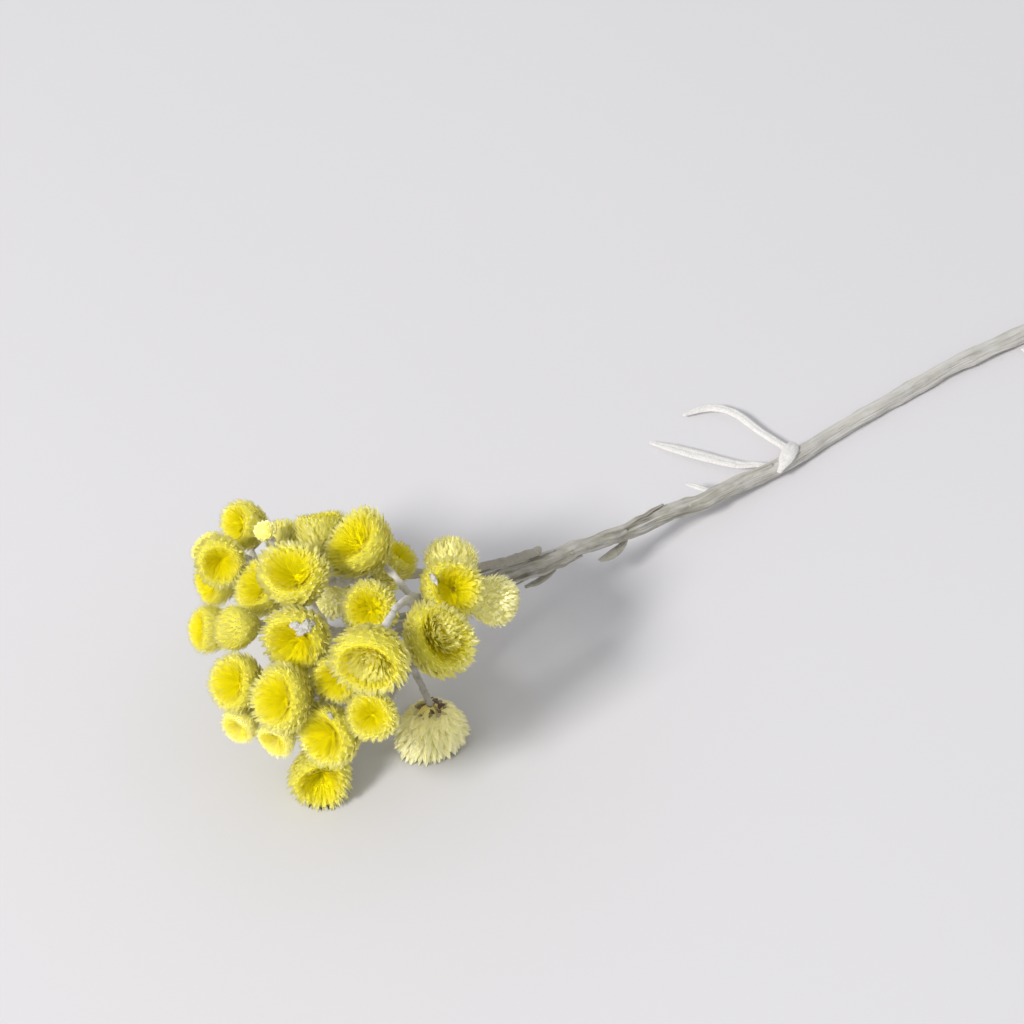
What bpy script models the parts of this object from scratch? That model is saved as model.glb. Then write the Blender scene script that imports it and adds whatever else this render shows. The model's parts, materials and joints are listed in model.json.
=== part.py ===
"""Dried strawflower sprig: one woolly stem, six side stems, a dome of small papery heads, a few leaves.

The sprig lies on its side on the plane z = 0. Its cut end points to +X and its flowers to -X. The tables
are written in millimetres from the crown, where the side stems part, and the whole sprig hangs on one
empty that moves it so that the middle of its footprint is at the origin.
"""

import math
from dataclasses import dataclass

import bmesh
import bpy
from mathutils import Vector

MM = 0.001

# Driving dimensions, in millimetres.
GAP = 0.3                   # clear space between two neighbouring pieces
STEM_SPACING = 4.0          # distance between the stem's cross-sections
CUT_DEPTH = 0.5             # how far the slanting cut takes the stem back
CUT_ANGLE = 35.0            # slant of the pruned end, degrees from square
CUT_BLOCK = 10.0            # size of the block that prunes the stem
SIDE_STEM_RADIUS = 0.6
SIDE_STEM_GAP = 0.45        # clear space where a side stem leaves the main stem
STALK_RADIUS = 0.42
JOINT_RADIUS = 1.05         # woolly swelling where stalks part
STALK_SEGMENTS = 6
SET_OFF_PULL = 0.4          # how far a side stem keeps its first direction, as a share of its length
JOINT_PULL = 0.3            # how far back along its chord it turns into its joint
STALK_PULL = 0.35           # the same for a flower stalk at both of its ends
HEAD_STEPS = 14             # facets round a head
BASE_DEPTH = 0.85           # a head's base lies this many radii behind its middle
LEAF_SPACING = 2.0          # distance between a leaf's cross-sections
LEAF_THICKNESS = 0.5
LEAF_BASE_SHARE = 0.55      # a leaf's width at its base, as a share of its greatest width
LEAF_TIP_TAPER = 0.8        # how much of its width a leaf loses by its tip
FLOOR_BLOCK = 120.0         # size of the block that presses the lowest heads flat

# The stem's middle line from the cut end to the crown: x, y, z and radius.
STEM_ROUTE = (
    (165.0, -3.0, 1.4, 1.35),
    (142.0, -2.5, 1.4, 1.30),
    (119.5, -0.5, 1.3, 1.25),
    (106.5, 1.0, 1.3, 1.25),
    (94.0, 1.5, 1.2, 1.15),
    (82.0, 1.8, 1.2, 1.15),
    (70.7, 1.3, 1.5, 1.15),
    (61.4, 2.0, 2.1, 1.20),
    (53.3, 1.9, 3.2, 1.20),
    (45.7, 2.3, 4.9, 1.15),
    (37.0, 1.5, 7.2, 0.95),
    (28.1, 1.1, 10.2, 1.10),
    (21.6, 0.6, 11.8, 1.20),
    (15.5, 1.0, 13.2, 1.10),
    (8.0, 1.0, 14.0, 1.00),
    (2.0, 0.5, 15.0, 0.90),
    (-4.0, 1.0, 17.0, 0.80),
    (-8.5, 1.5, 18.5, 0.70),
)

# Half outlines of a head in units of its radius, from the middle of its face to its base: radius, height.
HEAD_OUTLINES = {
    "open": ((0.0, 0.30), (0.35, 0.38), (0.62, 0.62), (0.84, 0.58), (1.0, 0.28),
             (0.97, -0.05), (0.80, -0.45), (0.45, -0.75), (0.0, -BASE_DEPTH)),
    "rosette": ((0.0, 0.50), (0.32, 0.46), (0.58, 0.64), (0.84, 0.56), (1.0, 0.26),
                (0.97, -0.05), (0.80, -0.45), (0.45, -0.75), (0.0, -BASE_DEPTH)),
    "shut": ((0.0, 0.55), (0.26, 0.62), (0.50, 0.72), (0.80, 0.50), (0.96, 0.18),
             (0.98, -0.10), (0.80, -0.48), (0.45, -0.75), (0.0, -BASE_DEPTH)),
}


@dataclass(frozen=True)
class Head:
    """One flower head: where its middle is, the compass bearing and rise of its face, and its radius."""

    place: tuple
    bearing: float
    rise: float
    radius: float
    form: str = "open"
    bow: float = 0.0        # how far its stalk bows upwards between its ends

    def axis(self):
        """Return the direction in which the head's face looks."""
        turn = math.radians(self.bearing)
        lift = math.radians(self.rise)
        return Vector((math.cos(turn) * math.cos(lift), math.sin(turn) * math.cos(lift), math.sin(lift)))

    def stalk_end(self):
        """Return the point just behind the head's base where its stalk stops."""
        return Vector(self.place) - self.axis() * (BASE_DEPTH * self.radius + GAP)


@dataclass(frozen=True)
class Joint:
    """A place on a side stem where flower stalks part, with the heads that it carries."""

    place: tuple
    heads: tuple


@dataclass(frozen=True)
class SideStem:
    """A side stem: where it leaves the stem, on which side of it, and its joints in order."""

    leaves_at: float        # x of the place on the stem
    side: float             # degrees round the stem from +Y towards +Z, or None straight from the stem's tip
    joints: tuple


# Side stems run from the crown outwards, and each carries its own group of heads.
SIDE_STEMS = (
    SideStem(12.0, 115.0, (
        Joint((3.0, -2.5, 19.0), (
            Head((1.0, -6.0, 26.0), -108, 43, 3.9),
            Head((7.0, -7.0, 20.5), -30, -20, 3.5, "shut"),
            Head((-6.6, -12.6, 26.8), -75, 50, 4.2, "rosette"),
        )),
        Joint((-3.0, -3.0, 24.0), (
            Head((5.8, 0.3, 22.8), 50, 65, 3.4, "shut"),
            Head((-5.7, 5.0, 29.8), 160, 54, 3.9),
            Head((-10.0, -3.0, 27.0), -146, 45, 3.5),
            Head((-18.0, -14.0, 32.5), -140, 15, 4.3, "rosette", 4.0),
        )),
    )),
    SideStem(8.0, 200.0, (
        Joint((-4.5, -4.0, 13.0), (
            Head((-3.9, -7.2, 2.3), 0, -90, 4.2),
            Head((-19.4, -15.7, 24.3), -143, 44, 3.1),
            Head((-19.6, -8.9, 25.6), -150, 25, 3.2),
        )),
    )),
    SideStem(22.0, 75.0, (
        Joint((-6.0, 9.0, 20.0), (
            Head((-7.0, 12.2, 27.9), 60, 50, 3.5),
            Head((0.0, 5.5, 22.5), -15, 50, 3.0),
            Head((-3.5, 16.0, 9.5), 140, -75, 2.9, "shut"),
        )),
        Joint((-11.0, 15.0, 18.5), (
            Head((-12.6, 22.2, 24.5), 175, 32, 3.0),
            Head((-9.2, 17.3, 23.6), 45, 25, 2.8),
            Head((-16.5, 25.2, 19.9), 140, 46, 2.5, "shut"),
            Head((-19.9, 18.8, 20.9), -179, 17, 2.75),
            Head((-19.9, 16.8, 26.6), -129, 25, 3.0),
            Head((-10.2, 24.6, 20.5), 51, 40, 2.4),
            Head((-13.9, 15.0, 29.7), -150, 60, 1.45, "shut"),
        )),
    )),
    SideStem(-8.5, None, (
        Joint((-13.0, 2.0, 20.0), (
            Head((-17.5, 10.4, 25.2), 172, 50, 3.4),
            Head((-16.1, 5.1, 30.7), -153, 68, 4.0),
            Head((-25.1, 13.0, 20.0), 165, 20, 2.6),
            Head((-24.7, 6.5, 25.4), 170, 15, 2.7, "shut"),
            Head((-20.5, -1.5, 27.0), -150, 25, 4.1),
        )),
    )),
    SideStem(4.0, 250.0, (
        Joint((-13.0, -4.0, 14.0), (
            Head((-28.7, 0.9, 22.5), -178, 39, 3.4),
            Head((-26.7, -6.6, 24.7), -173, 36, 3.85),
            Head((-30.1, -1.2, 17.2), -160, 0, 2.4, "shut"),
            Head((-28.1, -6.4, 17.7), -155, 5, 2.4, "shut"),
            Head((-23.7, -12.1, 20.3), -167, 29, 3.7),
            Head((-21.0, -5.0, 3.6), -125, 10, 4.1),
        )),
    )),
    SideStem(6.0, 310.0, (
        Joint((-7.0, 5.0, 8.5), (
            Head((2.4, 13.4, 11.3), -60, 60, 3.0),
            Head((-13.5, 6.5, 4.5), 175, 30, 3.1),
            Head((-21.5, 2.5, 8.0), 175, -15, 3.0),
            Head((-8.5, 15.5, 3.0), 125, -25, 3.3),
            Head((-2.2, 6.8, 4.2), 125, -50, 3.0),
        )),
    )),
)


@dataclass(frozen=True)
class Leaf:
    """A narrow felted leaf: its middle line from base to tip, its width and how far its edges drop."""

    name: str
    route: tuple
    width: float
    droop: float = 0.15


LEAVES = (
    Leaf("leaf_long_upper", ((72.5, 4.0, 1.6), (72.0, 9.0, 1.5), (71.5, 14.5, 1.7), (69.5, 18.0, 1.4),
                             (65.5, 19.5, 0.9)), 1.8),
    Leaf("leaf_long_lower", ((66.6, 3.6, 1.6), (64.5, 6.0, 1.3), (61.7, 10.8, 1.2), (59.3, 15.2, 1.1),
                             (57.6, 18.2, 0.8)), 2.0),
    Leaf("leaf_clasping", ((74.5, 1.7, 3.5), (72.0, 0.4, 3.5), (69.6, -1.0, 2.6)), 2.6),
    Leaf("leaf_stub", ((55.7, 3.6, 3.2), (55.0, 5.0, 3.2), (54.3, 6.2, 3.1)), 1.2),
    Leaf("leaf_hidden_base", ((126.0, -3.6, 1.9), (121.0, -3.4, 1.7), (116.5, -3.2, 1.2)), 1.8),
    Leaf("leaf_withered_upper", ((37.0, 0.8, 5.4), (34.8, 0.4, 5.6), (32.2, 0.0, 6.2)), 1.5),
    Leaf("leaf_withered_lower", ((23.4, 0.2, 9.5), (20.8, -0.3, 9.9), (18.0, -0.6, 10.6)), 1.0),
)

COLOURS = {
    "stem": ((0.42, 0.41, 0.34, 1.0), 0.9),
    "stalk": ((0.55, 0.53, 0.45, 1.0), 0.9),
    "leaf": ((0.78, 0.77, 0.72, 1.0), 0.95),
    "head": ((0.80, 0.70, 0.08, 1.0), 0.6),
    "pale_head": ((0.80, 0.76, 0.22, 1.0), 0.6),
}


def clear_scene():
    """Remove every object of the open scene."""
    for item in list(bpy.data.objects):
        bpy.data.objects.remove(item, do_unlink=True)


def make_collection(name):
    """Return a new collection linked to the scene."""
    group = bpy.data.collections.new(name)
    bpy.context.scene.collection.children.link(group)
    return group


def make_material(name, finish):
    """Return a Principled material of a named colour and roughness."""
    colour, roughness = COLOURS[finish]
    material = bpy.data.materials.new(name + "_surface")
    material.use_nodes = True
    shader = material.node_tree.nodes["Principled BSDF"]
    shader.inputs["Base Color"].default_value = colour
    shader.inputs["Roughness"].default_value = roughness
    shader.inputs["Metallic"].default_value = 0.0
    return material


def smooth_route(stops, spacing):
    """Return evenly spaced stations on a smooth curve through the stops, each stop a tuple of numbers."""
    stops = [Vector(stop) for stop in stops]
    first = stops[0] * 2.0 - stops[1]
    last = stops[-1] * 2.0 - stops[-2]
    padded = [first] + stops + [last]
    stations = []
    for a, b, c, d in zip(padded, padded[1:], padded[2:], padded[3:]):
        count = max(1, round((c - b).length / spacing))
        for step in range(count):
            t = step / count
            stations.append(0.5 * (2.0 * b + (c - a) * t + (2.0 * a - 5.0 * b + 4.0 * c - d) * t ** 2
                                   + (3.0 * b - a - 3.0 * c + d) * t ** 3))
    stations.append(stops[-1])
    return stations


def bezier(start, pull_start, pull_end, end, segments):
    """Return stations on a cubic curve from start to end."""
    stations = []
    for step in range(segments + 1):
        t = step / segments
        s = 1.0 - t
        stations.append(start * s ** 3 + pull_start * 3.0 * s * s * t
                        + pull_end * 3.0 * s * t * t + end * t ** 3)
    return stations


def tube(name, stations, radii, resolution):
    """Return a closed round mesh tube along the stations, in millimetres, made from a bevelled curve."""
    curve = bpy.data.curves.new(name, "CURVE")
    curve.dimensions = "3D"
    curve.bevel_depth = MM
    curve.bevel_resolution = resolution
    curve.use_fill_caps = True
    spline = curve.splines.new("POLY")
    spline.points.add(len(stations) - 1)
    for point, station, radius in zip(spline.points, stations, radii):
        point.co = (station[0] * MM, station[1] * MM, station[2] * MM, 1.0)
        point.radius = radius
    guide = bpy.data.objects.new(name, curve)
    bpy.context.scene.collection.objects.link(guide)
    bpy.context.view_layer.update()
    mesh = bpy.data.meshes.new_from_object(guide.evaluated_get(bpy.context.evaluated_depsgraph_get()))
    weld(mesh)
    bpy.data.objects.remove(guide, do_unlink=True)
    return bpy.data.objects.new(name, mesh)


def weld(mesh):
    """Merge the mesh's doubled vertices, such as those of a tube's caps."""
    editor = bmesh.new()
    editor.from_mesh(mesh)
    bmesh.ops.remove_doubles(editor, verts=editor.verts, dist=0.001 * MM)
    bmesh.ops.recalc_face_normals(editor, faces=editor.faces)
    editor.to_mesh(mesh)
    editor.free()


def knob(name, place, radius):
    """Return a small round swelling centred at a place, in millimetres."""
    mesh = bpy.data.meshes.new(name)
    editor = bmesh.new()
    bmesh.ops.create_icosphere(editor, subdivisions=2, radius=radius * MM)
    bmesh.ops.translate(editor, verts=editor.verts, vec=Vector(place) * MM)
    editor.to_mesh(mesh)
    editor.free()
    return bpy.data.objects.new(name, mesh)


def fuse(name, pieces):
    """Return one object that is the Boolean union of the pieces, which are removed."""
    body = pieces[0]
    for piece in pieces:
        bpy.context.scene.collection.objects.link(piece)
    for piece in pieces[1:]:
        union = body.modifiers.new("union", "BOOLEAN")
        union.operation = "UNION"
        union.solver = "EXACT"
        union.object = piece
    bpy.context.view_layer.update()
    mesh = bpy.data.meshes.new_from_object(body.evaluated_get(bpy.context.evaluated_depsgraph_get()))
    mesh.name = name
    for piece in pieces:
        bpy.data.objects.remove(piece, do_unlink=True)
    return bpy.data.objects.new(name, mesh)


def finish(body, group, root, finish_name):
    """Put a finished piece in the sprig's collection, under its root, with its own material."""
    body.data.materials.clear()
    body.data.materials.append(make_material(body.name, finish_name))
    body.data.shade_smooth()
    group.objects.link(body)
    body.parent = root
    return body


def box_cutter(name, size, place, turn, group, root):
    """Return a box for cutting, centred at a place in millimetres and turned about Y."""
    mesh = bpy.data.meshes.new(name)
    editor = bmesh.new()
    bmesh.ops.create_cube(editor, size=size * MM)
    editor.to_mesh(mesh)
    editor.free()
    cutter = bpy.data.objects.new(name, mesh)
    cutter.location = Vector(place) * MM
    cutter.rotation_euler = (0.0, turn, 0.0)
    cutter.hide_render = True
    cutter.display_type = "WIRE"
    group.objects.link(cutter)
    cutter.parent = root
    return cutter


def cut_with(body, cutter):
    """Take the cutter away from a piece."""
    cut = body.modifiers.new("cut", "BOOLEAN")
    cut.operation = "DIFFERENCE"
    cut.solver = "EXACT"
    cut.object = cutter


def build_stem(stations, group, cutters, root):
    """Build the main stem with its slanting pruned end."""
    stem = tube("main_stem", stations, [station[3] for station in stations], 2)
    finish(stem, group, root, "stem")
    tip = stations[0]
    half = 0.5 * CUT_BLOCK
    reach = half + tip[3] * math.sin(math.radians(CUT_ANGLE))
    place = (tip[0] + reach - CUT_DEPTH, tip[1], tip[2])
    pruning = box_cutter("pruning_block", CUT_BLOCK, place, math.radians(CUT_ANGLE), cutters, root)
    cut_with(stem, pruning)


def stem_start(side_stem, stations):
    """Return where a side stem begins beside the main stem, and the direction in which it sets off."""
    index = min(range(1, len(stations)), key=lambda i: abs(stations[i][0] - side_stem.leaves_at))
    here = stations[index]
    onward = (stations[index] - stations[index - 1]).to_3d().normalized()
    if side_stem.side is None:
        return here.to_3d() + onward * GAP, onward
    across = Vector((0.0, 0.0, 1.0)).cross(onward).normalized() * -1.0
    upward = across.cross(onward).normalized()
    if upward.z < 0.0:
        upward.negate()
    turn = math.radians(side_stem.side)
    outward = across * math.cos(turn) + upward * math.sin(turn)
    return here.to_3d() + outward * (here[3] + SIDE_STEM_RADIUS + SIDE_STEM_GAP), onward


def build_side_stem(name, side_stem, stations, group, root):
    """Build one side stem with its joints and all of its flower stalks as one solid."""
    start, heading = stem_start(side_stem, stations)
    pieces = []
    for number, joint in enumerate(side_stem.joints):
        place = Vector(joint.place)
        reach = (place - start).length
        set_off = start + heading * SET_OFF_PULL * reach
        route = bezier(start, set_off, place.lerp(start, JOINT_PULL), place, STALK_SEGMENTS)
        radii = [SIDE_STEM_RADIUS] * len(route)
        pieces.append(tube(f"{name}_run_{number}", route, radii, 1))
        pieces.append(knob(f"{name}_joint_{number}", place, JOINT_RADIUS))
        heading = (place - start).normalized()
        for index, head in enumerate(joint.heads):
            end = head.stalk_end()
            span = (end - place).length
            middle = place.lerp(end, STALK_PULL) + Vector((0.0, 0.0, head.bow))
            stalk = bezier(place, middle, end - head.axis() * STALK_PULL * span, end, STALK_SEGMENTS)
            pieces.append(tube(f"{name}_stalk_{number}_{index}", stalk, [STALK_RADIUS] * len(stalk), 1))
        start = place
    finish(fuse(name, pieces), group, root, "stalk")


def build_head(name, head, group, floor_cutter, root):
    """Build one flower head as a turned cup, and press it flat where it meets the floor."""
    mesh = bpy.data.meshes.new(name)
    editor = bmesh.new()
    previous = None
    for radius, height in HEAD_OUTLINES[head.form]:
        vertex = editor.verts.new((radius * head.radius * MM, 0.0, height * head.radius * MM))
        if previous is not None:
            editor.edges.new((previous, vertex))
        previous = vertex
    editor.to_mesh(mesh)
    editor.free()
    body = bpy.data.objects.new(name, mesh)
    finish(body, group, root, "pale_head" if head.form == "shut" else "head")
    body.location = Vector(head.place) * MM
    body.rotation_mode = "QUATERNION"
    body.rotation_quaternion = head.axis().to_track_quat("Z", "Y")
    turned = body.modifiers.new("turned", "SCREW")
    turned.axis = "Z"
    turned.steps = HEAD_STEPS
    turned.render_steps = HEAD_STEPS
    turned.use_merge_vertices = True
    turned.merge_threshold = 0.01 * MM
    if head.place[2] < head.radius:
        cut_with(body, floor_cutter)
    return body


def build_leaf(leaf, group, root):
    """Build one felted leaf as a strip with drooping edges and a felt's thickness."""
    stations = smooth_route(leaf.route, LEAF_SPACING)
    rows = len(stations)
    mesh = bpy.data.meshes.new(leaf.name)
    editor = bmesh.new()
    bmesh.ops.create_grid(editor, x_segments=2, y_segments=rows - 1, size=1.0)
    for vertex in editor.verts:
        row = round((vertex.co.y + 1.0) * 0.5 * (rows - 1))
        station = stations[row]
        onward = (stations[min(row + 1, rows - 1)] - stations[max(row - 1, 0)]).normalized()
        across = onward.cross(Vector((0.0, 0.0, 1.0))).normalized()
        along = row / (rows - 1)
        belly = LEAF_BASE_SHARE + (1.0 - LEAF_BASE_SHARE) * math.sin(math.pi * along)
        half = 0.5 * leaf.width * belly * (1.0 - LEAF_TIP_TAPER * along ** 4)
        drop = leaf.droop * abs(vertex.co.x)
        vertex.co = (station + across * half * vertex.co.x - Vector((0.0, 0.0, drop))) * MM
    editor.to_mesh(mesh)
    editor.free()
    body = bpy.data.objects.new(leaf.name, mesh)
    finish(body, group, root, "leaf")
    felt = body.modifiers.new("felt", "SOLIDIFY")
    felt.thickness = LEAF_THICKNESS * MM
    felt.offset = 0.0
    return body


def centre_on_footprint(group, root):
    """Move the root so that the middle of the sprig's footprint stands at the origin."""
    bpy.context.view_layer.update()
    depsgraph = bpy.context.evaluated_depsgraph_get()
    corners = []
    for body in group.objects:
        if body.type == "MESH":
            shape = body.evaluated_get(depsgraph)
            corners.extend(body.matrix_world @ vertex.co for vertex in shape.data.vertices)
    for axis in (0, 1):
        values = [corner[axis] for corner in corners]
        root.location[axis] = -0.5 * (min(values) + max(values))


def main():
    """Build the sprig."""
    clear_scene()
    group = make_collection("strawflower")
    cutters = make_collection("cutters")
    root = bpy.data.objects.new("sprig", None)
    group.objects.link(root)
    stations = smooth_route(STEM_ROUTE, STEM_SPACING)
    build_stem(stations, group, cutters, root)
    floor = box_cutter("floor_block", FLOOR_BLOCK, (0.0, 0.0, -0.5 * FLOOR_BLOCK), 0.0, cutters, root)
    number = 0
    for index, side_stem in enumerate(SIDE_STEMS, 1):
        build_side_stem(f"side_stem_{index}", side_stem, stations, group, root)
        for joint in side_stem.joints:
            for head in joint.heads:
                number += 1
                build_head(f"head_{number:02d}", head, group, floor, root)
    for leaf in LEAVES:
        build_leaf(leaf, group, root)
    centre_on_footprint(group, root)


main()
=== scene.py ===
"""Dresses the dried strawflower sprig: papery flower heads, woolly stems, felted leaves and a pale table.

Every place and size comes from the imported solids: a head's turned solid gives its axis and radius, and a
stem's or a leaf's solid is the core that its wool is felted onto.
"""

import json
import logging
import math
from dataclasses import astuple, dataclass, field
from enum import Enum
from typing import Callable

import bmesh
import bpy
import numpy as np
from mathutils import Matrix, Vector, noise


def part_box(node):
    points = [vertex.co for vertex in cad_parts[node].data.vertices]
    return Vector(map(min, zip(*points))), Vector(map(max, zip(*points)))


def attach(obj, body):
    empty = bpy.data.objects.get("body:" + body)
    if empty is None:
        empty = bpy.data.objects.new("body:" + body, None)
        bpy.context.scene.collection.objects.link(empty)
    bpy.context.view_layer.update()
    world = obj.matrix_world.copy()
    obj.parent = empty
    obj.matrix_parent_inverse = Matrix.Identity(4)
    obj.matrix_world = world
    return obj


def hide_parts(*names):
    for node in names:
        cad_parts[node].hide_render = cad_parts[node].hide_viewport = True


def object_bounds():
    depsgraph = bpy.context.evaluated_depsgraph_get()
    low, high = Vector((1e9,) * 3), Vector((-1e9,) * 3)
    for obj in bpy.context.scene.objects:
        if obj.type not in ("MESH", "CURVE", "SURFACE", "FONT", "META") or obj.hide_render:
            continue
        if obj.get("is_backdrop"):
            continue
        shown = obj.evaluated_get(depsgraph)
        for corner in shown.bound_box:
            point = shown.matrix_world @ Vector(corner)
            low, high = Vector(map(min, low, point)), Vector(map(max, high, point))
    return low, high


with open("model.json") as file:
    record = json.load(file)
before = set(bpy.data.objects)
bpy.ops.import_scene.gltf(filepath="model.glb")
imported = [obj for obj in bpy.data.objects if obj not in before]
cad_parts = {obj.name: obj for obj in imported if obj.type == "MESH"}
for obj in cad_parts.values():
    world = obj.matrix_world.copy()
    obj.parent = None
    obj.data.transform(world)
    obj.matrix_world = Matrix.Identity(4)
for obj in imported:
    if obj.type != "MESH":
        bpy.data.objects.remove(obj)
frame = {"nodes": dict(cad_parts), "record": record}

logging.basicConfig(level=logging.INFO, format="%(name)s: %(message)s")
LOG = logging.getLogger("strawflower")

MM = 0.001
UP = (0.0, 0.0, 1.0)
GOLDEN_ANGLE = math.radians(137.508)
WHOLE_TURN = 6.28           # the range of a random bearing
BASE_DEPTH = 0.85           # a head's base lies this many radii behind its middle
POLE_EDGES = 14             # edges that meet at each pole of a turned solid
WELD = 0.001 * MM           # points nearer than this are one
NEAR = 0.01                 # heights in a pattern closer than this are the same
CLEARANCE = 0.02 * MM       # the least height of a bract over the table
BODY = "root"

Colour = tuple[float, float, float, float]
BLACK: Colour = (0.0, 0.0, 0.0, 1.0)
WHITE: Colour = (1.0, 1.0, 1.0, 1.0)


class HeadForm(Enum):
    """How far a head has opened, told by the height of its face's middle in head radii."""

    OPEN = 0.30
    ROSETTE = 0.50
    SHUT = 0.55


def deselect_all() -> None:
    """Leave nothing selected and nothing in edit mode."""
    if bpy.context.object and bpy.context.object.mode != "OBJECT":
        bpy.ops.object.mode_set(mode="OBJECT")
    bpy.ops.object.select_all(action="DESELECT")


def make_active(piece: bpy.types.Object) -> None:
    """Select one piece alone and make it active.

    Args:
        piece: The object that the next operators work on.
    """
    deselect_all()
    piece.select_set(True)
    bpy.context.view_layer.objects.active = piece


def select_vertices(piece: bpy.types.Object, wanted: Callable[[Vector], bool]) -> None:
    """Select the vertices of a piece in edit mode by their place.

    Args:
        piece: The object in edit mode.
        wanted: Tells from a vertex's place whether it is selected.
    """
    bpy.ops.mesh.select_all(action="DESELECT")
    bpy.ops.mesh.select_mode(type="VERT")
    cage = bmesh.from_edit_mesh(piece.data)
    for vertex in cage.verts:
        vertex.select_set(wanted(vertex.co))
    cage.select_flush_mode()
    bmesh.update_edit_mesh(piece.data)


def apply_modifier(piece: bpy.types.Object, kind: str, **settings: object) -> None:
    """Add a modifier to a piece and apply it.

    Args:
        piece: The object that the modifier shapes.
        kind: Blender's name for the modifier's type.
        settings: The modifier's own values.
    """
    make_active(piece)
    modifier = piece.modifiers.new(kind.lower(), kind)
    for name, value in settings.items():
        setattr(modifier, name, value)
    bpy.ops.object.modifier_apply(modifier=modifier.name)


def points_of(mesh: bpy.types.Mesh) -> np.ndarray:
    """Read a mesh's points, one row each."""
    return np.array([vertex.co for vertex in mesh.vertices])


def move_points(mesh: bpy.types.Mesh, places: np.ndarray) -> None:
    """Move a mesh's points, and keep them above the table.

    Args:
        mesh: The mesh.
        places: The new place of each point, one row each.
    """
    places[:, 2] = np.maximum(places[:, 2], 0.0)
    mesh.vertices.foreach_set("co", places.astype(np.float32).ravel())
    mesh.update()


def take_apart(piece: bpy.types.Object) -> tuple[np.ndarray, list]:
    """Read a modelled piece's shape and remove the piece.

    Args:
        piece: The object.

    Returns:
        Its points, one row each, and its faces as lists of point numbers.
    """
    points = points_of(piece.data)
    faces = [list(polygon.vertices) for polygon in piece.data.polygons]
    bpy.data.objects.remove(piece, do_unlink=True)
    return points, faces


def write_map(mesh: bpy.types.Mesh, layer: bpy.types.MeshUVLoopLayer, values: np.ndarray) -> None:
    """Write a UV map from two numbers for each point.

    Args:
        mesh: The mesh.
        layer: Its UV map.
        values: The two numbers, one row for each point.
    """
    corners = np.empty(len(mesh.loops), dtype=np.int32)
    mesh.loops.foreach_get("vertex_index", corners)
    layer.data.foreach_set("uv", values[corners].astype(np.float32).ravel())


def arc_lengths(line: np.ndarray) -> np.ndarray:
    """Measure how far along a line each of its stops is."""
    return np.concatenate(([0.0], np.cumsum(np.linalg.norm(np.diff(line, axis=0), axis=1))))


def along_line(at: np.ndarray, reach: np.ndarray, line: np.ndarray) -> np.ndarray:
    """Find places on a line.

    Args:
        at: Distances along it.
        reach: The distance of each of its stops.
        line: Its stops, one row each.

    Returns:
        The places, one row each.
    """
    return np.stack([np.interp(at, reach, line[:, axis]) for axis in range(3)], axis=1)


def roughen(piece: bpy.types.Object, swell: float, layers: tuple) -> None:
    """Swell a piece along its normals and mat its surface with noise.

    Args:
        piece: The object that is roughened.
        swell: How far the whole surface moves out, in metres.
        layers: Pairs of a noise's fineness per millimetre and its height in millimetres.
    """
    places = points_of(piece.data)
    normals = np.array([normal.vector for normal in piece.data.vertex_normals])
    heights = np.array([sum(height * noise.noise(Vector(place) * fineness) for fineness, height in layers)
                        for place in places / MM])
    move_points(piece.data, places + normals * (swell + heights * MM)[:, None])


def place_piece(piece: bpy.types.Object, material: bpy.types.Material, slot: str, *nodes: str) -> None:
    """Give a finished piece its material and its body, and let it stand for its solids.

    Args:
        piece: The finished object, with its place in its mesh.
        material: The finish that it wears.
        slot: The record's material slot; not used.
        nodes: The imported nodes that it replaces.
    """
    piece.data.materials.clear()
    piece.data.materials.append(material)
    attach(piece, BODY)
    if nodes:
        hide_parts(*nodes)
    LOG.info("%s: %d faces", piece.name, len(piece.data.polygons))


MIX_INPUTS = (0, 6, 7)      # a Mix node's factor and its two colours
MIX_OUTPUT = 2              # its mixed colour


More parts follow.
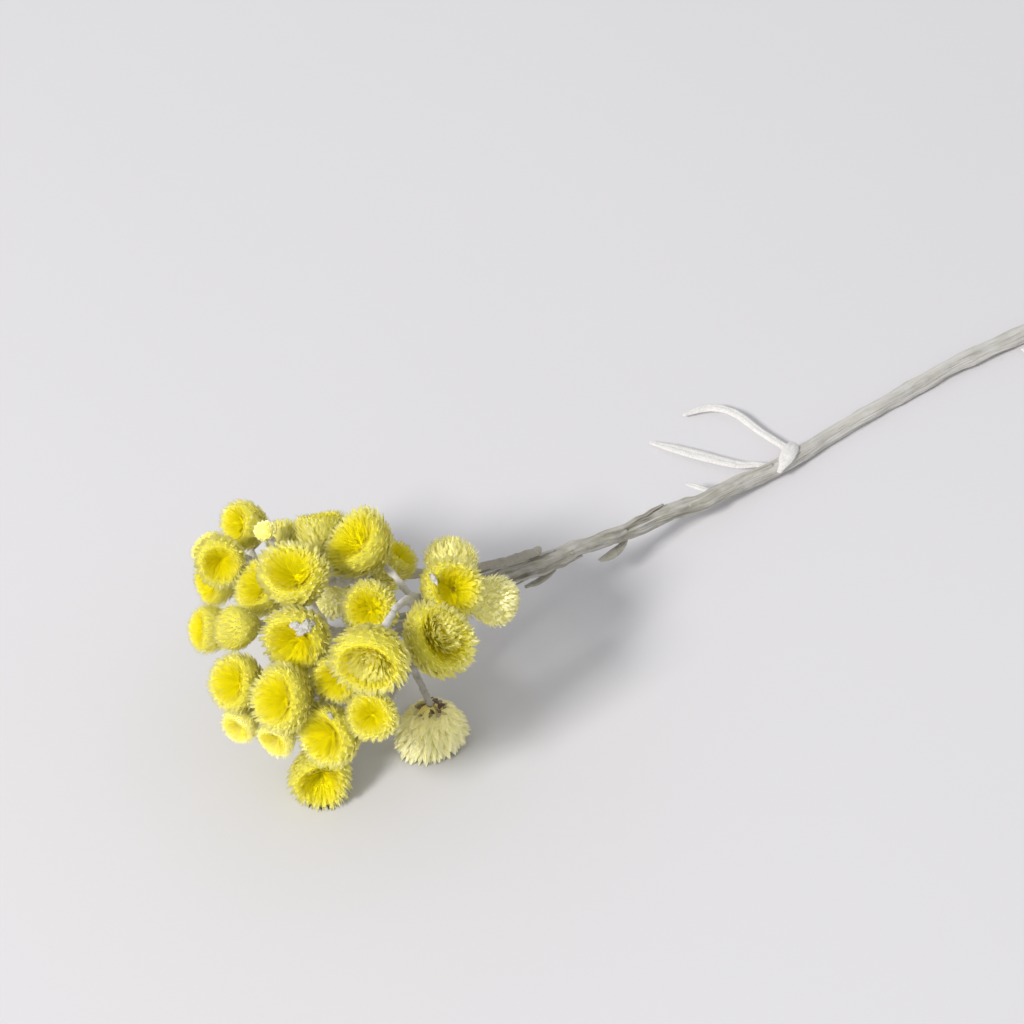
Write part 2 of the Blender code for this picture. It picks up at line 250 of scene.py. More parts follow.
class NodeSheet:
    """A material's node tree, written one node at a time."""

    def __init__(self, name: str) -> None:
        """Start a material with a Principled shader.

        Args:
            name: The material's name.
        """
        self.material = bpy.data.materials.new(name)
        self.material.use_nodes = True
        self.tree = self.material.node_tree
        self.shader = self.tree.nodes["Principled BSDF"]

    def add(self, kind: str, **settings: object) -> bpy.types.Node:
        """Add a node and set its properties.

        Args:
            kind: Blender's node type.
            settings: Properties of the node.

        Returns:
            The new node.
        """
        node = self.tree.nodes.new(kind)
        for name, value in settings.items():
            setattr(node, name, value)
        return node

    def feed(self, target: bpy.types.NodeSocket, value: object) -> None:
        """Give an input its value.

        Args:
            target: The input.
            value: A socket to link, or a number or colour to set.
        """
        if isinstance(value, bpy.types.NodeSocket):
            self.tree.links.new(value, target)
        else:
            target.default_value = value

    def ramp(self, value: bpy.types.NodeSocket, stops: tuple) -> bpy.types.NodeSocket:
        """Colour a value by a ramp.

        Args:
            value: The number that the ramp reads.
            stops: Pairs of a place from 0 to 1 and a colour.

        Returns:
            The ramp's colour.
        """
        node = self.add("ShaderNodeValToRGB")
        band = node.color_ramp
        while len(band.elements) < len(stops):
            band.elements.new(0.5)
        for element, (place, colour) in zip(band.elements, stops):
            element.position = place
            element.color = colour
        self.feed(node.inputs["Fac"], value)
        return node.outputs["Color"]

    def mix(self, factor: object, first: object, second: object, blend: str = "MIX") -> bpy.types.NodeSocket:
        """Mix two colours.

        Args:
            factor: A socket or a number.
            first: A socket or a colour.
            second: A socket or a colour.
            blend: The way of mixing.

        Returns:
            The mixed colour.
        """
        node = self.add("ShaderNodeMix", data_type="RGBA", blend_type=blend)
        for index, value in zip(MIX_INPUTS, (factor, first, second)):
            self.feed(node.inputs[index], value)
        return node.outputs[MIX_OUTPUT]

    def maths(self, operation: str, first: object, second: object = 0.0, third: object = 0.0,
              clamp: bool = False) -> bpy.types.NodeSocket:
        """Work out a number.

        Args:
            operation: The sum to do.
            first: A socket or a number.
            second: A socket or a number.
            third: A socket or a number.
            clamp: Whether to keep the result between 0 and 1.

        Returns:
            The result.
        """
        node = self.add("ShaderNodeMath", operation=operation, use_clamp=clamp)
        for target, value in zip(node.inputs, (first, second, third)):
            self.feed(target, value)
        return node.outputs[0]

    def noise(self, vector: bpy.types.NodeSocket, scale: float, detail: float = 2.0,
              stretch: tuple[float, float, float] = (1.0, 1.0, 1.0)) -> bpy.types.NodeSocket:
        """Read a noise pattern.

        Args:
            vector: The coordinates.
            scale: How fine the pattern is, per metre of the coordinates.
            detail: How many finer layers it has.
            stretch: How much finer it is along each axis.

        Returns:
            The noise value.
        """
        mapping = self.add("ShaderNodeMapping")
        mapping.inputs["Scale"].default_value = stretch
        self.feed(mapping.inputs["Vector"], vector)
        node = self.add("ShaderNodeTexNoise")
        node.inputs["Scale"].default_value = scale
        node.inputs["Detail"].default_value = detail
        self.feed(node.inputs["Vector"], mapping.outputs["Vector"])
        return node.outputs["Fac"]

    def bump(self, height: bpy.types.NodeSocket, depth: float, strength: float) -> None:
        """Roughen the shader's surface.

        Args:
            height: The height pattern, from 0 to 1.
            depth: The height of 1, in metres.
            strength: How strongly it shows.
        """
        node = self.add("ShaderNodeBump")
        node.inputs["Strength"].default_value = strength
        node.inputs["Distance"].default_value = depth
        self.feed(node.inputs["Height"], height)
        self.feed(self.shader.inputs["Normal"], node.outputs["Normal"])

    def surface(self, **values: object) -> bpy.types.Material:
        """Set the shader's own sockets.

        Args:
            values: Socket names, with underscores for spaces, and their values or links.

        Returns:
            The finished material.
        """
        for name, value in values.items():
            self.feed(self.shader.inputs[name.replace("_", " ")], value)
        return self.material


# --------------------------------------------------------------------------------------------------
# Finishes
# --------------------------------------------------------------------------------------------------

@dataclass(frozen=True)
class BractFinish:
    """Papery bracts: deep yellow round the face's middle, paler outwards and at every tip."""

    name: str
    body: tuple
    tip: tuple
    roughness: float = 0.35
    gloss: float = 0.10
    bleach: Colour = (0.96, 0.94, 0.74, 1.0)
    dry: Colour = (0.10, 0.045, 0.015, 1.0)
    vein: Colour = (0.88, 0.86, 0.72, 1.0)
    vein_fineness: float = 9.0
    vein_stretch: tuple = (3.0, 0.35, 1.0)
    vein_depth: float = 0.00006
    vein_roughness: float = 0.25
    tip_power: float = 2.2              # how closely the tip's colour keeps to the tip
    whim_gain: float = 0.14             # how much brighter one bract is than another
    whim_start: float = 0.90
    fade_power: float = 8.0             # how few of the bracts have faded
    fade_slope: float = -5.0            # fading stops at the bowl
    fade_start: float = 4.0
    glow: float = 0.80                  # how much light goes through
    glow_depth: float = 0.00055
    glow_tint: tuple = (1.0, 0.95, 0.6)

    def build(self) -> bpy.types.Material:
        """Build the material.

        Returns:
            The finished material, which reads the "bract" attribute and the "veins" map.
        """
        sheet = NodeSheet(self.name)
        marks = sheet.add("ShaderNodeAttribute", attribute_name="bract")
        parts = sheet.add("ShaderNodeSeparateColor")
        sheet.feed(parts.inputs["Color"], marks.outputs["Color"])
        along, tier, whim = parts.outputs[0], parts.outputs[1], parts.outputs[2]
        toward_tip = sheet.maths("POWER", along, self.tip_power)
        tint = sheet.mix(toward_tip, sheet.ramp(tier, self.body), sheet.ramp(tier, self.tip))
        lift = sheet.maths("MULTIPLY_ADD", whim, self.whim_gain, self.whim_start)
        tint = sheet.mix(1.0, tint, sheet.ramp(lift, ((0.0, BLACK), (1.0, WHITE))), "MULTIPLY")
        veins_map = sheet.add("ShaderNodeUVMap", uv_map="veins")
        veins = sheet.noise(veins_map.outputs["UV"], self.vein_fineness, detail=3.0,
                            stretch=self.vein_stretch)
        tint = sheet.mix(1.0, tint, sheet.ramp(veins, ((0.30, self.vein), (0.62, WHITE))), "MULTIPLY")
        faded = sheet.maths("MULTIPLY_ADD", tier, self.fade_slope, self.fade_start, clamp=True)
        bleached = sheet.maths("MULTIPLY", sheet.maths("POWER", whim, self.fade_power),
                               sheet.maths("MULTIPLY", toward_tip, faded), clamp=True)
        tint = sheet.mix(bleached, tint, self.bleach)
        tint = sheet.mix(marks.outputs["Alpha"], tint, self.dry)
        sheet.bump(veins, self.vein_depth, strength=0.6)
        rough = sheet.maths("MULTIPLY_ADD", veins, self.vein_roughness, self.roughness)
        sheet.shader.subsurface_method = "BURLEY"
        return sheet.surface(Base_Color=tint, Roughness=rough, Subsurface_Weight=self.glow,
                             Subsurface_Scale=self.glow_depth, Subsurface_Radius=self.glow_tint,
                             Specular_IOR_Level=self.gloss)


@dataclass(frozen=True)
class WoolFinish:
    """Matted plant wool over a grey-green skin."""

    name: str
    wool: Colour
    skin: Colour
    cover: float                        # how much of the skin the wool hides, 0 to 1
    bare_from: float | None = None      # past this X the wool has rubbed off, and low in the cluster it is greyed as painted shade
    bare_span: float = 4.0 * MM         # over how much X it gives way
    shade_span: float = 9.0 * MM         # over how much height the painted shade gives way
    shade_start: float = 2.6
    fibre_shade: Colour = (0.80, 0.79, 0.77, 1.0)
    fibre_fineness: float = 4200.0
    matting_fineness: float = 900.0
    patch_fineness: float = 260.0
    bald_level: float = 0.62            # the skin shows below this, and less of it under more cover
    cover_gain: float = 0.34
    bald_edge: tuple = (-0.10, 0.08)    # round that level the skin gives way to wool from here to here
    bare_skin: float = 0.5              # how much skin shows where the wool has rubbed off
    shade_share: float = 0.8              # and low in the cluster, as painted shade
    matting_depth: float = 0.00015

    def build(self) -> bpy.types.Material:
        """Build the material.

        Returns:
            The finished material, on Object coordinates.
        """
        sheet = NodeSheet(self.name)
        place = sheet.add("ShaderNodeTexCoord").outputs["Object"]
        matting = sheet.noise(place, self.matting_fineness, detail=4.0)
        patches = sheet.noise(place, self.patch_fineness)
        worn = sheet.maths("ADD", sheet.maths("MULTIPLY", matting, 0.5),
                           sheet.maths("MULTIPLY", patches, 0.5))
        bald = self.bald_level - self.cover_gain * self.cover
        skin_to, wool_from = bald + self.bald_edge[0], bald + self.bald_edge[1]
        tint = sheet.ramp(worn, ((skin_to, self.skin), (wool_from, self.wool)))
        fibres = sheet.noise(place, self.fibre_fineness, detail=3.0)
        tint = sheet.mix(1.0, tint, sheet.ramp(fibres, ((0.25, self.fibre_shade), (0.65, WHITE))), "MULTIPLY")
        if self.bare_from is not None:
            tint = self.wear_and_painted_shade(sheet, place, tint)
        sheet.bump(sheet.maths("ADD", fibres, matting), self.matting_depth, strength=0.7)
        return sheet.surface(Base_Color=tint, Roughness=0.93, Specular_IOR_Level=0.2,
                             Sheen_Weight=0.25, Sheen_Roughness=0.6)

    def wear_and_painted_shade(self, sheet: NodeSheet, place: bpy.types.NodeSocket,
             tint: bpy.types.NodeSocket) -> bpy.types.NodeSocket:
        """Rub the wool off past a place, and paint shade low in the cluster by turning the wool to the grey
        skin colour.

        Args:
            sheet: The material's nodes.
            place: The Object coordinates.
            tint: The colour so far.

        Returns:
            The colour with wear and painted shade.
        """
        parts = sheet.add("ShaderNodeSeparateXYZ")
        sheet.feed(parts.inputs["Vector"], place)
        bare = sheet.maths("MULTIPLY_ADD", parts.outputs["X"], 1.0 / self.bare_span,
                           -self.bare_from / self.bare_span, clamp=True)
        tint = sheet.mix(bare, tint, sheet.mix(self.bare_skin, tint, self.skin))
        # painted shade: below a height the wool gives way to the grey skin colour, standing in for the shade
        # among the heads
        deep = sheet.maths("MULTIPLY_ADD", parts.outputs["Z"], -1.0 / self.shade_span, self.shade_start,
                           clamp=True)
        return sheet.mix(sheet.maths("MULTIPLY", deep, self.shade_share), tint, self.skin)


@dataclass(frozen=True)
class StemFinish:
    """Dry stem bark: long grey-olive fibres, darker grooves and rubbed white wool."""

    name: str = "fibrous_stem"
    fibre: Colour = (0.42, 0.40, 0.33, 1.0)
    pale: Colour = (0.66, 0.645, 0.58, 1.0)
    groove: Colour = (0.16, 0.145, 0.105, 1.0)
    rubbed: Colour = (0.72, 0.71, 0.68, 1.0)
    fibre_fineness: float = 900.0
    fibre_stretch: tuple = (0.10, 1.0, 1.0)
    patch_fineness: float = 330.0
    rubbed_share: float = 0.40          # how white the rubbed patches are
    bark_depth: float = 0.0002

    def build(self) -> bpy.types.Material:
        """Build the material.

        Returns:
            The finished material, on the stem's own "stem" map: U runs along it in metres.
        """
        sheet = NodeSheet(self.name)
        run = sheet.add("ShaderNodeUVMap", uv_map="stem").outputs["UV"]
        place = sheet.add("ShaderNodeTexCoord").outputs["Object"]
        fibres = sheet.noise(run, self.fibre_fineness, detail=4.0, stretch=self.fibre_stretch)
        patches = sheet.noise(place, self.patch_fineness, detail=3.0)
        tint = sheet.ramp(fibres, ((0.28, self.groove), (0.46, self.fibre), (0.66, self.pale)))
        rubbed = sheet.ramp(patches, ((0.46, BLACK), (0.62, WHITE)))
        tint = sheet.mix(rubbed, tint, sheet.mix(self.rubbed_share, tint, self.rubbed))
        whiteness = sheet.add("ShaderNodeAttribute", attribute_name="wool")
        tint = sheet.mix(whiteness.outputs["Fac"], tint, self.rubbed)
        sheet.bump(sheet.maths("ADD", fibres, patches), self.bark_depth, strength=0.8)
        return sheet.surface(Base_Color=tint, Roughness=0.88, Specular_IOR_Level=0.25, Sheen_Weight=0.15)


@dataclass(frozen=True)
class FloorFinish:
    """The pale matt table."""

    name: str = "pale_table"
    colour: Colour = (0.795, 0.785, 0.805, 1.0)
    shade: float = 0.985                # how bright its dimmest clouds are
    cloud_fineness: float = 9.0

    def build(self) -> bpy.types.Material:
        """Build the material.

        Returns:
            The finished material, on Object coordinates.
        """
        sheet = NodeSheet(self.name)
        place = sheet.add("ShaderNodeTexCoord").outputs["Object"]
        clouds = sheet.noise(place, self.cloud_fineness)
        dim = tuple(self.shade * part for part in self.colour[:3]) + (1.0,)
        tint = sheet.ramp(clouds, ((0.3, dim), (0.7, self.colour)))
        return sheet.surface(Base_Color=tint, Roughness=0.85, Specular_IOR_Level=0.15)


YELLOW_BRACTS = BractFinish(
    "papery_yellow_bracts",
    body=((0.0, (0.66, 0.59, 0.18, 1.0)), (0.20, (0.78, 0.73, 0.18, 1.0)), (0.46, (0.80, 0.755, 0.16, 1.0)),
          (0.60, (0.79, 0.745, 0.13, 1.0)), (0.70, (0.78, 0.725, 0.08, 1.0)),
          (0.78, (0.77, 0.695, 0.025, 1.0)), (0.86, (0.755, 0.665, 0.003, 1.0)),
          (1.0, (0.745, 0.64, 0.0, 1.0))),
    tip=((0.0, (0.74, 0.71, 0.34, 1.0)), (0.40, (0.81, 0.78, 0.36, 1.0)), (0.58, (0.80, 0.77, 0.34, 1.0)),
         (0.70, (0.80, 0.755, 0.20, 1.0)), (0.80, (0.79, 0.73, 0.05, 1.0)), (0.88, (0.76, 0.685, 0.007, 1.0)),
         (1.0, (0.745, 0.65, 0.001, 1.0))),
    gloss=0.05)
PALE_BRACTS = BractFinish(
    "papery_pale_bracts",
    body=((0.0, (0.97, 0.87, 0.24, 1.0)), (0.22, (0.97, 0.92, 0.28, 1.0)), (0.46, (0.91, 0.87, 0.25, 1.0)),
          (0.60, (0.86, 0.82, 0.24, 1.0)), (0.70, (0.84, 0.78, 0.16, 1.0)), (0.86, (0.78, 0.70, 0.02, 1.0)),
          (1.0, (0.74, 0.63, 0.002, 1.0))),
    tip=((0.0, (0.98, 0.95, 0.58, 1.0)), (0.40, (0.97, 0.95, 0.68, 1.0)), (0.60, (0.94, 0.92, 0.58, 1.0)),
         (0.72, (0.88, 0.84, 0.32, 1.0)), (0.86, (0.81, 0.75, 0.06, 1.0)), (1.0, (0.75, 0.65, 0.004, 1.0))),
    roughness=0.16, gloss=0.8)
STALK_WOOL = WoolFinish("woolly_stalks", wool=(0.82, 0.795, 0.75, 1.0), skin=(0.36, 0.33, 0.26, 1.0),
                        cover=0.80, bare_from=-58.0 * MM)
LEAF_FELT = WoolFinish("felted_leaves", wool=(0.89, 0.875, 0.86, 1.0), skin=(0.66, 0.65, 0.60, 1.0),
                       cover=0.95)
WITHERED_FELT = WoolFinish("withered_leaves", wool=(0.50, 0.48, 0.40, 1.0), skin=(0.30, 0.28, 0.21, 1.0),
                           cover=0.6)


# --------------------------------------------------------------------------------------------------
# Flower heads
# --------------------------------------------------------------------------------------------------

@dataclass(frozen=True)
class TierStop:
    """A stop of the lines that a head's bracts follow, in head radii and degrees."""

    tip_radius: float
    tip_height: float
    lean: float             # how far the tip leans out from the axis
    root_radius: float
    root_height: float
    width: float
    spacing: float
    cup: float = 0.20       # how deeply the bract is cupped, and so how loose it is


TIP, LEAN, ROOT, WIDTH, SPACING, CUP = slice(0, 2), 2, slice(3, 5), 5, 6, 7     # a stop's columns
OPEN_TIERS = (
    TierStop(0.32, -1.16, 84.0, 0.08, -1.22, 0.15, 0.17),
    TierStop(0.62, -0.94, 66.0, 0.12, -1.22, 0.15, 0.185),
    TierStop(0.88, -0.62, 55.0, 0.16, -1.18, 0.15, 0.19),
    TierStop(1.07, -0.26, 47.0, 0.22, -1.10, 0.15, 0.19),
    TierStop(1.19, 0.08, 42.0, 0.28, -0.96, 0.15, 0.185),
    TierStop(1.22, 0.34, 40.0, 0.36, -0.76, 0.145, 0.175),
    TierStop(1.13, 0.52, 38.0, 0.44, -0.54, 0.135, 0.15),
    TierStop(0.99, 0.63, 36.0, 0.46, -0.34, 0.125, 0.13, 0.15),
    TierStop(0.86, 0.67, 33.0, 0.40, -0.18, 0.115, 0.112, 0.10),
    TierStop(0.74, 0.65, 31.0, 0.26, -0.14, 0.105, 0.10, 0.07),
    TierStop(0.63, 0.56, 33.0, 0.14, -0.12, 0.10, 0.092, 0.05),
    TierStop(0.50, 0.40, 38.0, 0.06, -0.11, 0.095, 0.085, 0.04),
    TierStop(0.33, 0.17, 46.0, 0.02, -0.10, 0.09, 0.08, 0.03),
)
BUD_TIERS = (
    TierStop(0.72, 0.58, 42.0, 0.14, -0.04, 0.13, 0.12),
    TierStop(0.62, 0.70, 28.0, 0.16, 0.04, 0.13, 0.115),
    TierStop(0.46, 0.76, 14.0, 0.14, 0.12, 0.13, 0.11),
    TierStop(0.28, 0.74, 2.0, 0.08, 0.14, 0.12, 0.10),
    TierStop(0.08, 0.66, -10.0, 0.04, 0.16, 0.11, 0.09),
)
SHUT_TIERS = (
    TierStop(0.32, -1.06, 88.0, 0.10, -1.12, 0.15, 0.16),
    TierStop(0.64, -0.84, 80.0, 0.16, -1.08, 0.16, 0.185),
    TierStop(0.92, -0.48, 72.0, 0.28, -0.96, 0.16, 0.195),
    TierStop(1.10, -0.08, 62.0, 0.40, -0.76, 0.16, 0.195),
    TierStop(1.14, 0.28, 50.0, 0.50, -0.50, 0.15, 0.19),
    TierStop(1.06, 0.58, 34.0, 0.56, -0.16, 0.14, 0.18),
    TierStop(0.86, 0.84, 15.0, 0.54, 0.16, 0.13, 0.165),
    TierStop(0.54, 1.04, -6.0, 0.40, 0.44, 0.12, 0.15),
    TierStop(0.16, 1.14, -20.0, 0.16, 0.60, 0.11, 0.12),
)


@dataclass(frozen=True)
class HeadTrait:
    """What sets one head apart from its neighbours."""

    breadth: float = 1.0        # width of its bracts
    spread: float = 1.0         # how far the whole head stands out from its solid
    dots: float = 0.0           # brownness of its disc florets, or 0 for none
    base: float = 0.30          # brownness of the scales round its stalk
    bud: tuple = (0.0, 0.0)     # where a young bud stands in its bowl, off the axis
    ripeness: float = 0.64      # how far a shut head has coloured
    loosened: bool = False      # whether a shut head's bracts have opened out
    coarse: float = 1.0         # how much fewer and puffier its bracts are
    pallor: float = 0.0         # the least that every bract has faded


HEAD_TRAITS = {
    "head_01": HeadTrait(breadth=1.15, dots=0.8),
    "head_02": HeadTrait(breadth=1.3, ripeness=0.78),
    "head_03": HeadTrait(breadth=1.2, bud=(0.06, 0.12)),
    "head_05": HeadTrait(breadth=1.1),
    "head_06": HeadTrait(breadth=1.2, dots=0.35),
    "head_07": HeadTrait(breadth=1.1, bud=(0.06, 0.16)),
    "head_08": HeadTrait(breadth=1.5, base=1.0),
    "head_16": HeadTrait(breadth=0.9, loosened=True),
    "head_17": HeadTrait(breadth=0.8, spread=1.1),
    "head_18": HeadTrait(breadth=0.9, spread=1.05),
    "head_20": HeadTrait(breadth=2.9, ripeness=0.25, coarse=2.3, pallor=0.97),
    "head_21": HeadTrait(spread=1.06),
    "head_22": HeadTrait(breadth=1.4),
    "head_23": HeadTrait(breadth=0.75, spread=1.1),
    "head_24": HeadTrait(breadth=0.75, spread=1.1),
    "head_28": HeadTrait(breadth=0.9, loosened=True),
    "head_29": HeadTrait(breadth=0.9, loosened=True),
}


@dataclass(frozen=True)
class Looseness:
    """How much bracts stray from their spiral: spreads in head radii, degrees, radians or shares."""

    tip: float = 0.022
    lean: float = 6.0
    width: float = 0.12
    turn: float = 0.08
    twist: float = 0.16
    cup: float = 0.3
    whim: float = 0.22      # spread of the brightness round the middle, 0.5


@dataclass(frozen=True)
class Florets:
    """The tiny disc florets in the middle of a face, in head radii."""

    count: int = 26
    reach: float = 0.08
    height: float = 0.22
    breadth: float = 0.016
    length: float = 0.07
    spare_length: float = 0.03
    along: float = 0.2      # where along a bract their colour is read


@dataclass(frozen=True)
class HeadShape:
    """How a head's receptacle and outline differ from a plain turned cup, in head radii."""

    rim: float = 0.93               # the receptacle's bowl lies within this
    bowl_floor: float = -0.13       # and above this
    bowl_tier: float = 1.24         # the bowl's tier at its middle, and how fast it falls outwards
    bowl_fall: float = 0.64
    flank_low: float = 1.2          # the flank's tier rises from here over the head's height
    flank_span: float = 2.4
    core_whim: float = 0.4
    bud_reach: float = 0.60
    bud_edge: float = 0.26
    bud_rise: float = 0.20
    dome_edge: float = 0.34
    dome_rise: float = 0.56
    oval: float = 0.04
    pinch: float = 0.035            # swelling twice and three times round the head
    lobes: float = 0.025
    sway: float = 0.07              # how far the rim bends up and down


LOOSE = Looseness()
FLORETS = Florets()
SHAPE = HeadShape()
BUD_SHARE = (0.72, 0.58)    # the tiers of a young bud, from its edge to its tip
BRACT_CREASE = math.radians(40.0)
SAMPLES = 400               # steps in which a spiral is measured
DRAWS = 8                   # random numbers for each bract
THICKNESS = 0.008           # of a bract, in head radii
DRY_TIERS = 0.06            # brown scales reach this far up the tiers
DRY_START = 1.5
MAP_STEP = (3.0, 0.37)      # each bract's map is moved on by this, so that no two have the same veins
MAP_LENGTH = 2.0            # of a bract on its map
INNER_TIER = 0.68           # tiers past this lie inside the bowl, where bracts have fewer faces


@dataclass
class BractPattern:
    """One papery bract, which every head copies: X across, Y through it, Z from its root to its tip."""

    stations: tuple = ((0.0, 0.60), (0.35, 0.90), (0.62, 1.0), (0.84, 0.66))
    points: np.ndarray = field(init=False)
    faces: list = field(init=False)
    inner_picks: np.ndarray = field(init=False)
    inner_faces: list = field(init=False)

    def __post_init__(self) -> None:
        """Keep the bract's points and faces, and those of the plainer bracts inside the bowl."""
        self.points, self.faces = self.model(self.stations)
        inner_points, self.inner_faces = self.model(self.stations[:1] + self.stations[2:])
        gaps = np.linalg.norm(inner_points[:, None] - self.points[None], axis=2)
        self.inner_picks = gaps.argmin(axis=1)

    def model(self, stations: tuple) -> tuple[np.ndarray, list]:
        """Model a bract.

        Args:
            stations: Heights along it, and its share of the full width at each.

        Returns:
            Its points and its faces.
        """
        deselect_all()
        bpy.ops.mesh.primitive_cylinder_add(vertices=4, radius=1.0, depth=1.0, location=(0.0, 0.0, 0.5))
        blade = bpy.context.object
        bpy.ops.object.transform_apply(location=True, rotation=True, scale=True)
        bpy.ops.object.mode_set(mode="EDIT")
        for height, _ in stations[1:]:
            bpy.ops.mesh.select_all(action="SELECT")
            bpy.ops.mesh.bisect(plane_co=(0.0, 0.0, height), plane_no=UP)
        for height, width in stations:
            select_vertices(blade, lambda place, height=height: abs(place.z - height) < NEAR)
            bpy.ops.transform.resize(value=(width, 1.0, 1.0), center_override=(0.0, 0.0, height))
        select_vertices(blade, lambda place: place.z > 1.0 - NEAR)
        bpy.ops.mesh.merge(type="CENTER")
        bpy.ops.object.mode_set(mode="OBJECT")
        return take_apart(blade)


@dataclass
class CorePattern:
    """The receptacle inside a head, which closes the gaps between its bracts."""

    profile: tuple = ((0.0, -1.22), (0.22, -1.15), (0.52, -0.92), (0.78, -0.56), (0.94, -0.16), (0.99, 0.16),
                      (0.92, 0.42), (0.80, 0.52), (0.67, 0.46), (0.51, 0.30), (0.34, 0.08), (0.18, -0.04),
                      (0.0, -0.08))
    sides: int = 16
    points: np.ndarray = field(init=False)
    faces: list = field(init=False)

    def __post_init__(self) -> None:
        """Model the receptacle and keep its points and faces."""
        deselect_all()
        rings = len(self.profile) - 1
        bpy.ops.mesh.primitive_uv_sphere_add(segments=self.sides, ring_count=rings, radius=1.0)
        points, faces = take_apart(bpy.context.object)
        self.faces = sorted(faces)      # a sphere's faces come in no fixed order
        order = np.rint((np.arccos(np.clip(-points[:, 2], -1.0, 1.0)) / math.pi) * rings).astype(int)
        turn = np.arctan2(points[:, 1], points[:, 0])
        radius = np.array([stop[0] for stop in self.profile])[order]
        height = np.array([stop[1] for stop in self.profile])[order]
        self.points = np.stack((radius * np.cos(turn), radius * np.sin(turn), height), axis=1)


class MeshHeap:
    """Points, faces and marks of many copied shapes, gathered into one mesh."""

    def __init__(self) -> None:
        """Start with nothing."""
        self.points: list[np.ndarray] = []
        self.faces: list[list[int]] = []
        self.marks: list[np.ndarray] = []
        self.maps: list[np.ndarray] = []
        self.count = 0

    def add(self, points: np.ndarray, faces: list, marks: np.ndarray, flat: np.ndarray) -> None:
        """Add a shape.

        Args:
            points: Its places, one row each.
            faces: Its faces, as lists of point numbers.
            marks: Four numbers for each point, for the material.
            flat: Two map numbers for each point.
        """
        self.points.append(points)
        self.faces.extend([[corner + self.count for corner in face] for face in faces])
        self.marks.append(marks)
        self.maps.append(flat)
        self.count += len(points)

    def build(self, name: str, mark_name: str, map_name: str) -> bpy.types.Object:
        """Build the object.

        Args:
            name: The object's name.
            mark_name: The name of the colour attribute that holds the marks.
            map_name: The name of the UV map.

        Returns:
            The object, linked to the scene.
        """
        mesh = bpy.data.meshes.new(name)
        points = np.concatenate(self.points)
        mesh.from_pydata(points.tolist(), [], self.faces)
        marks = mesh.attributes.new(mark_name, "FLOAT_COLOR", "POINT")
        marks.data.foreach_set("color", np.concatenate(self.marks).astype(np.float32).ravel())
        write_map(mesh, mesh.uv_layers.new(name=map_name), np.concatenate(self.maps))
        mesh.update()
        piece = bpy.data.objects.new(name, mesh)
        bpy.context.scene.collection.objects.link(piece)
        return piece


@dataclass
class HeadCore:
    """Where a head's solid is, which way its face looks, its radius and how far it has opened."""

    middle: Vector
    axis: Vector
    radius: float
    form: HeadForm

    @classmethod
    def of(cls, node: bpy.types.Object) -> "HeadCore":
        """Read a head's solid.

        Args:
            node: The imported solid, turned about an axis between two poles.

        Returns:
            Its place and size.
        """
        solid = bmesh.new()
        solid.from_mesh(node.data)
        bmesh.ops.remove_doubles(solid, verts=solid.verts, dist=WELD)
        centre = sum((vertex.co for vertex in solid.verts), Vector()) / len(solid.verts)
        poles = sorted(solid.verts, key=cls.unevenness)[:2]
        face, base = sorted((pole.co.copy() for pole in poles), key=lambda place: (place - centre).length)
        axis = (face - base).normalized()
        spokes = ((vertex.co - base) - axis * (vertex.co - base).dot(axis) for vertex in solid.verts)
        radius = max(spoke.length for spoke in spokes)
        solid.free()
        opening = (face - base).length / radius - BASE_DEPTH
        form = min(HeadForm, key=lambda known: abs(known.value - opening))
        return cls(base + axis * BASE_DEPTH * radius, axis, radius, form)

    @staticmethod
    def unevenness(vertex: bmesh.types.BMVert) -> float:
        """Tell how unlike a pole of a turned solid a vertex is."""
        spans = [edge.calc_length() for edge in vertex.link_edges]
        return (max(spans) - min(spans)) / max(spans) + abs(len(spans) - POLE_EDGES)


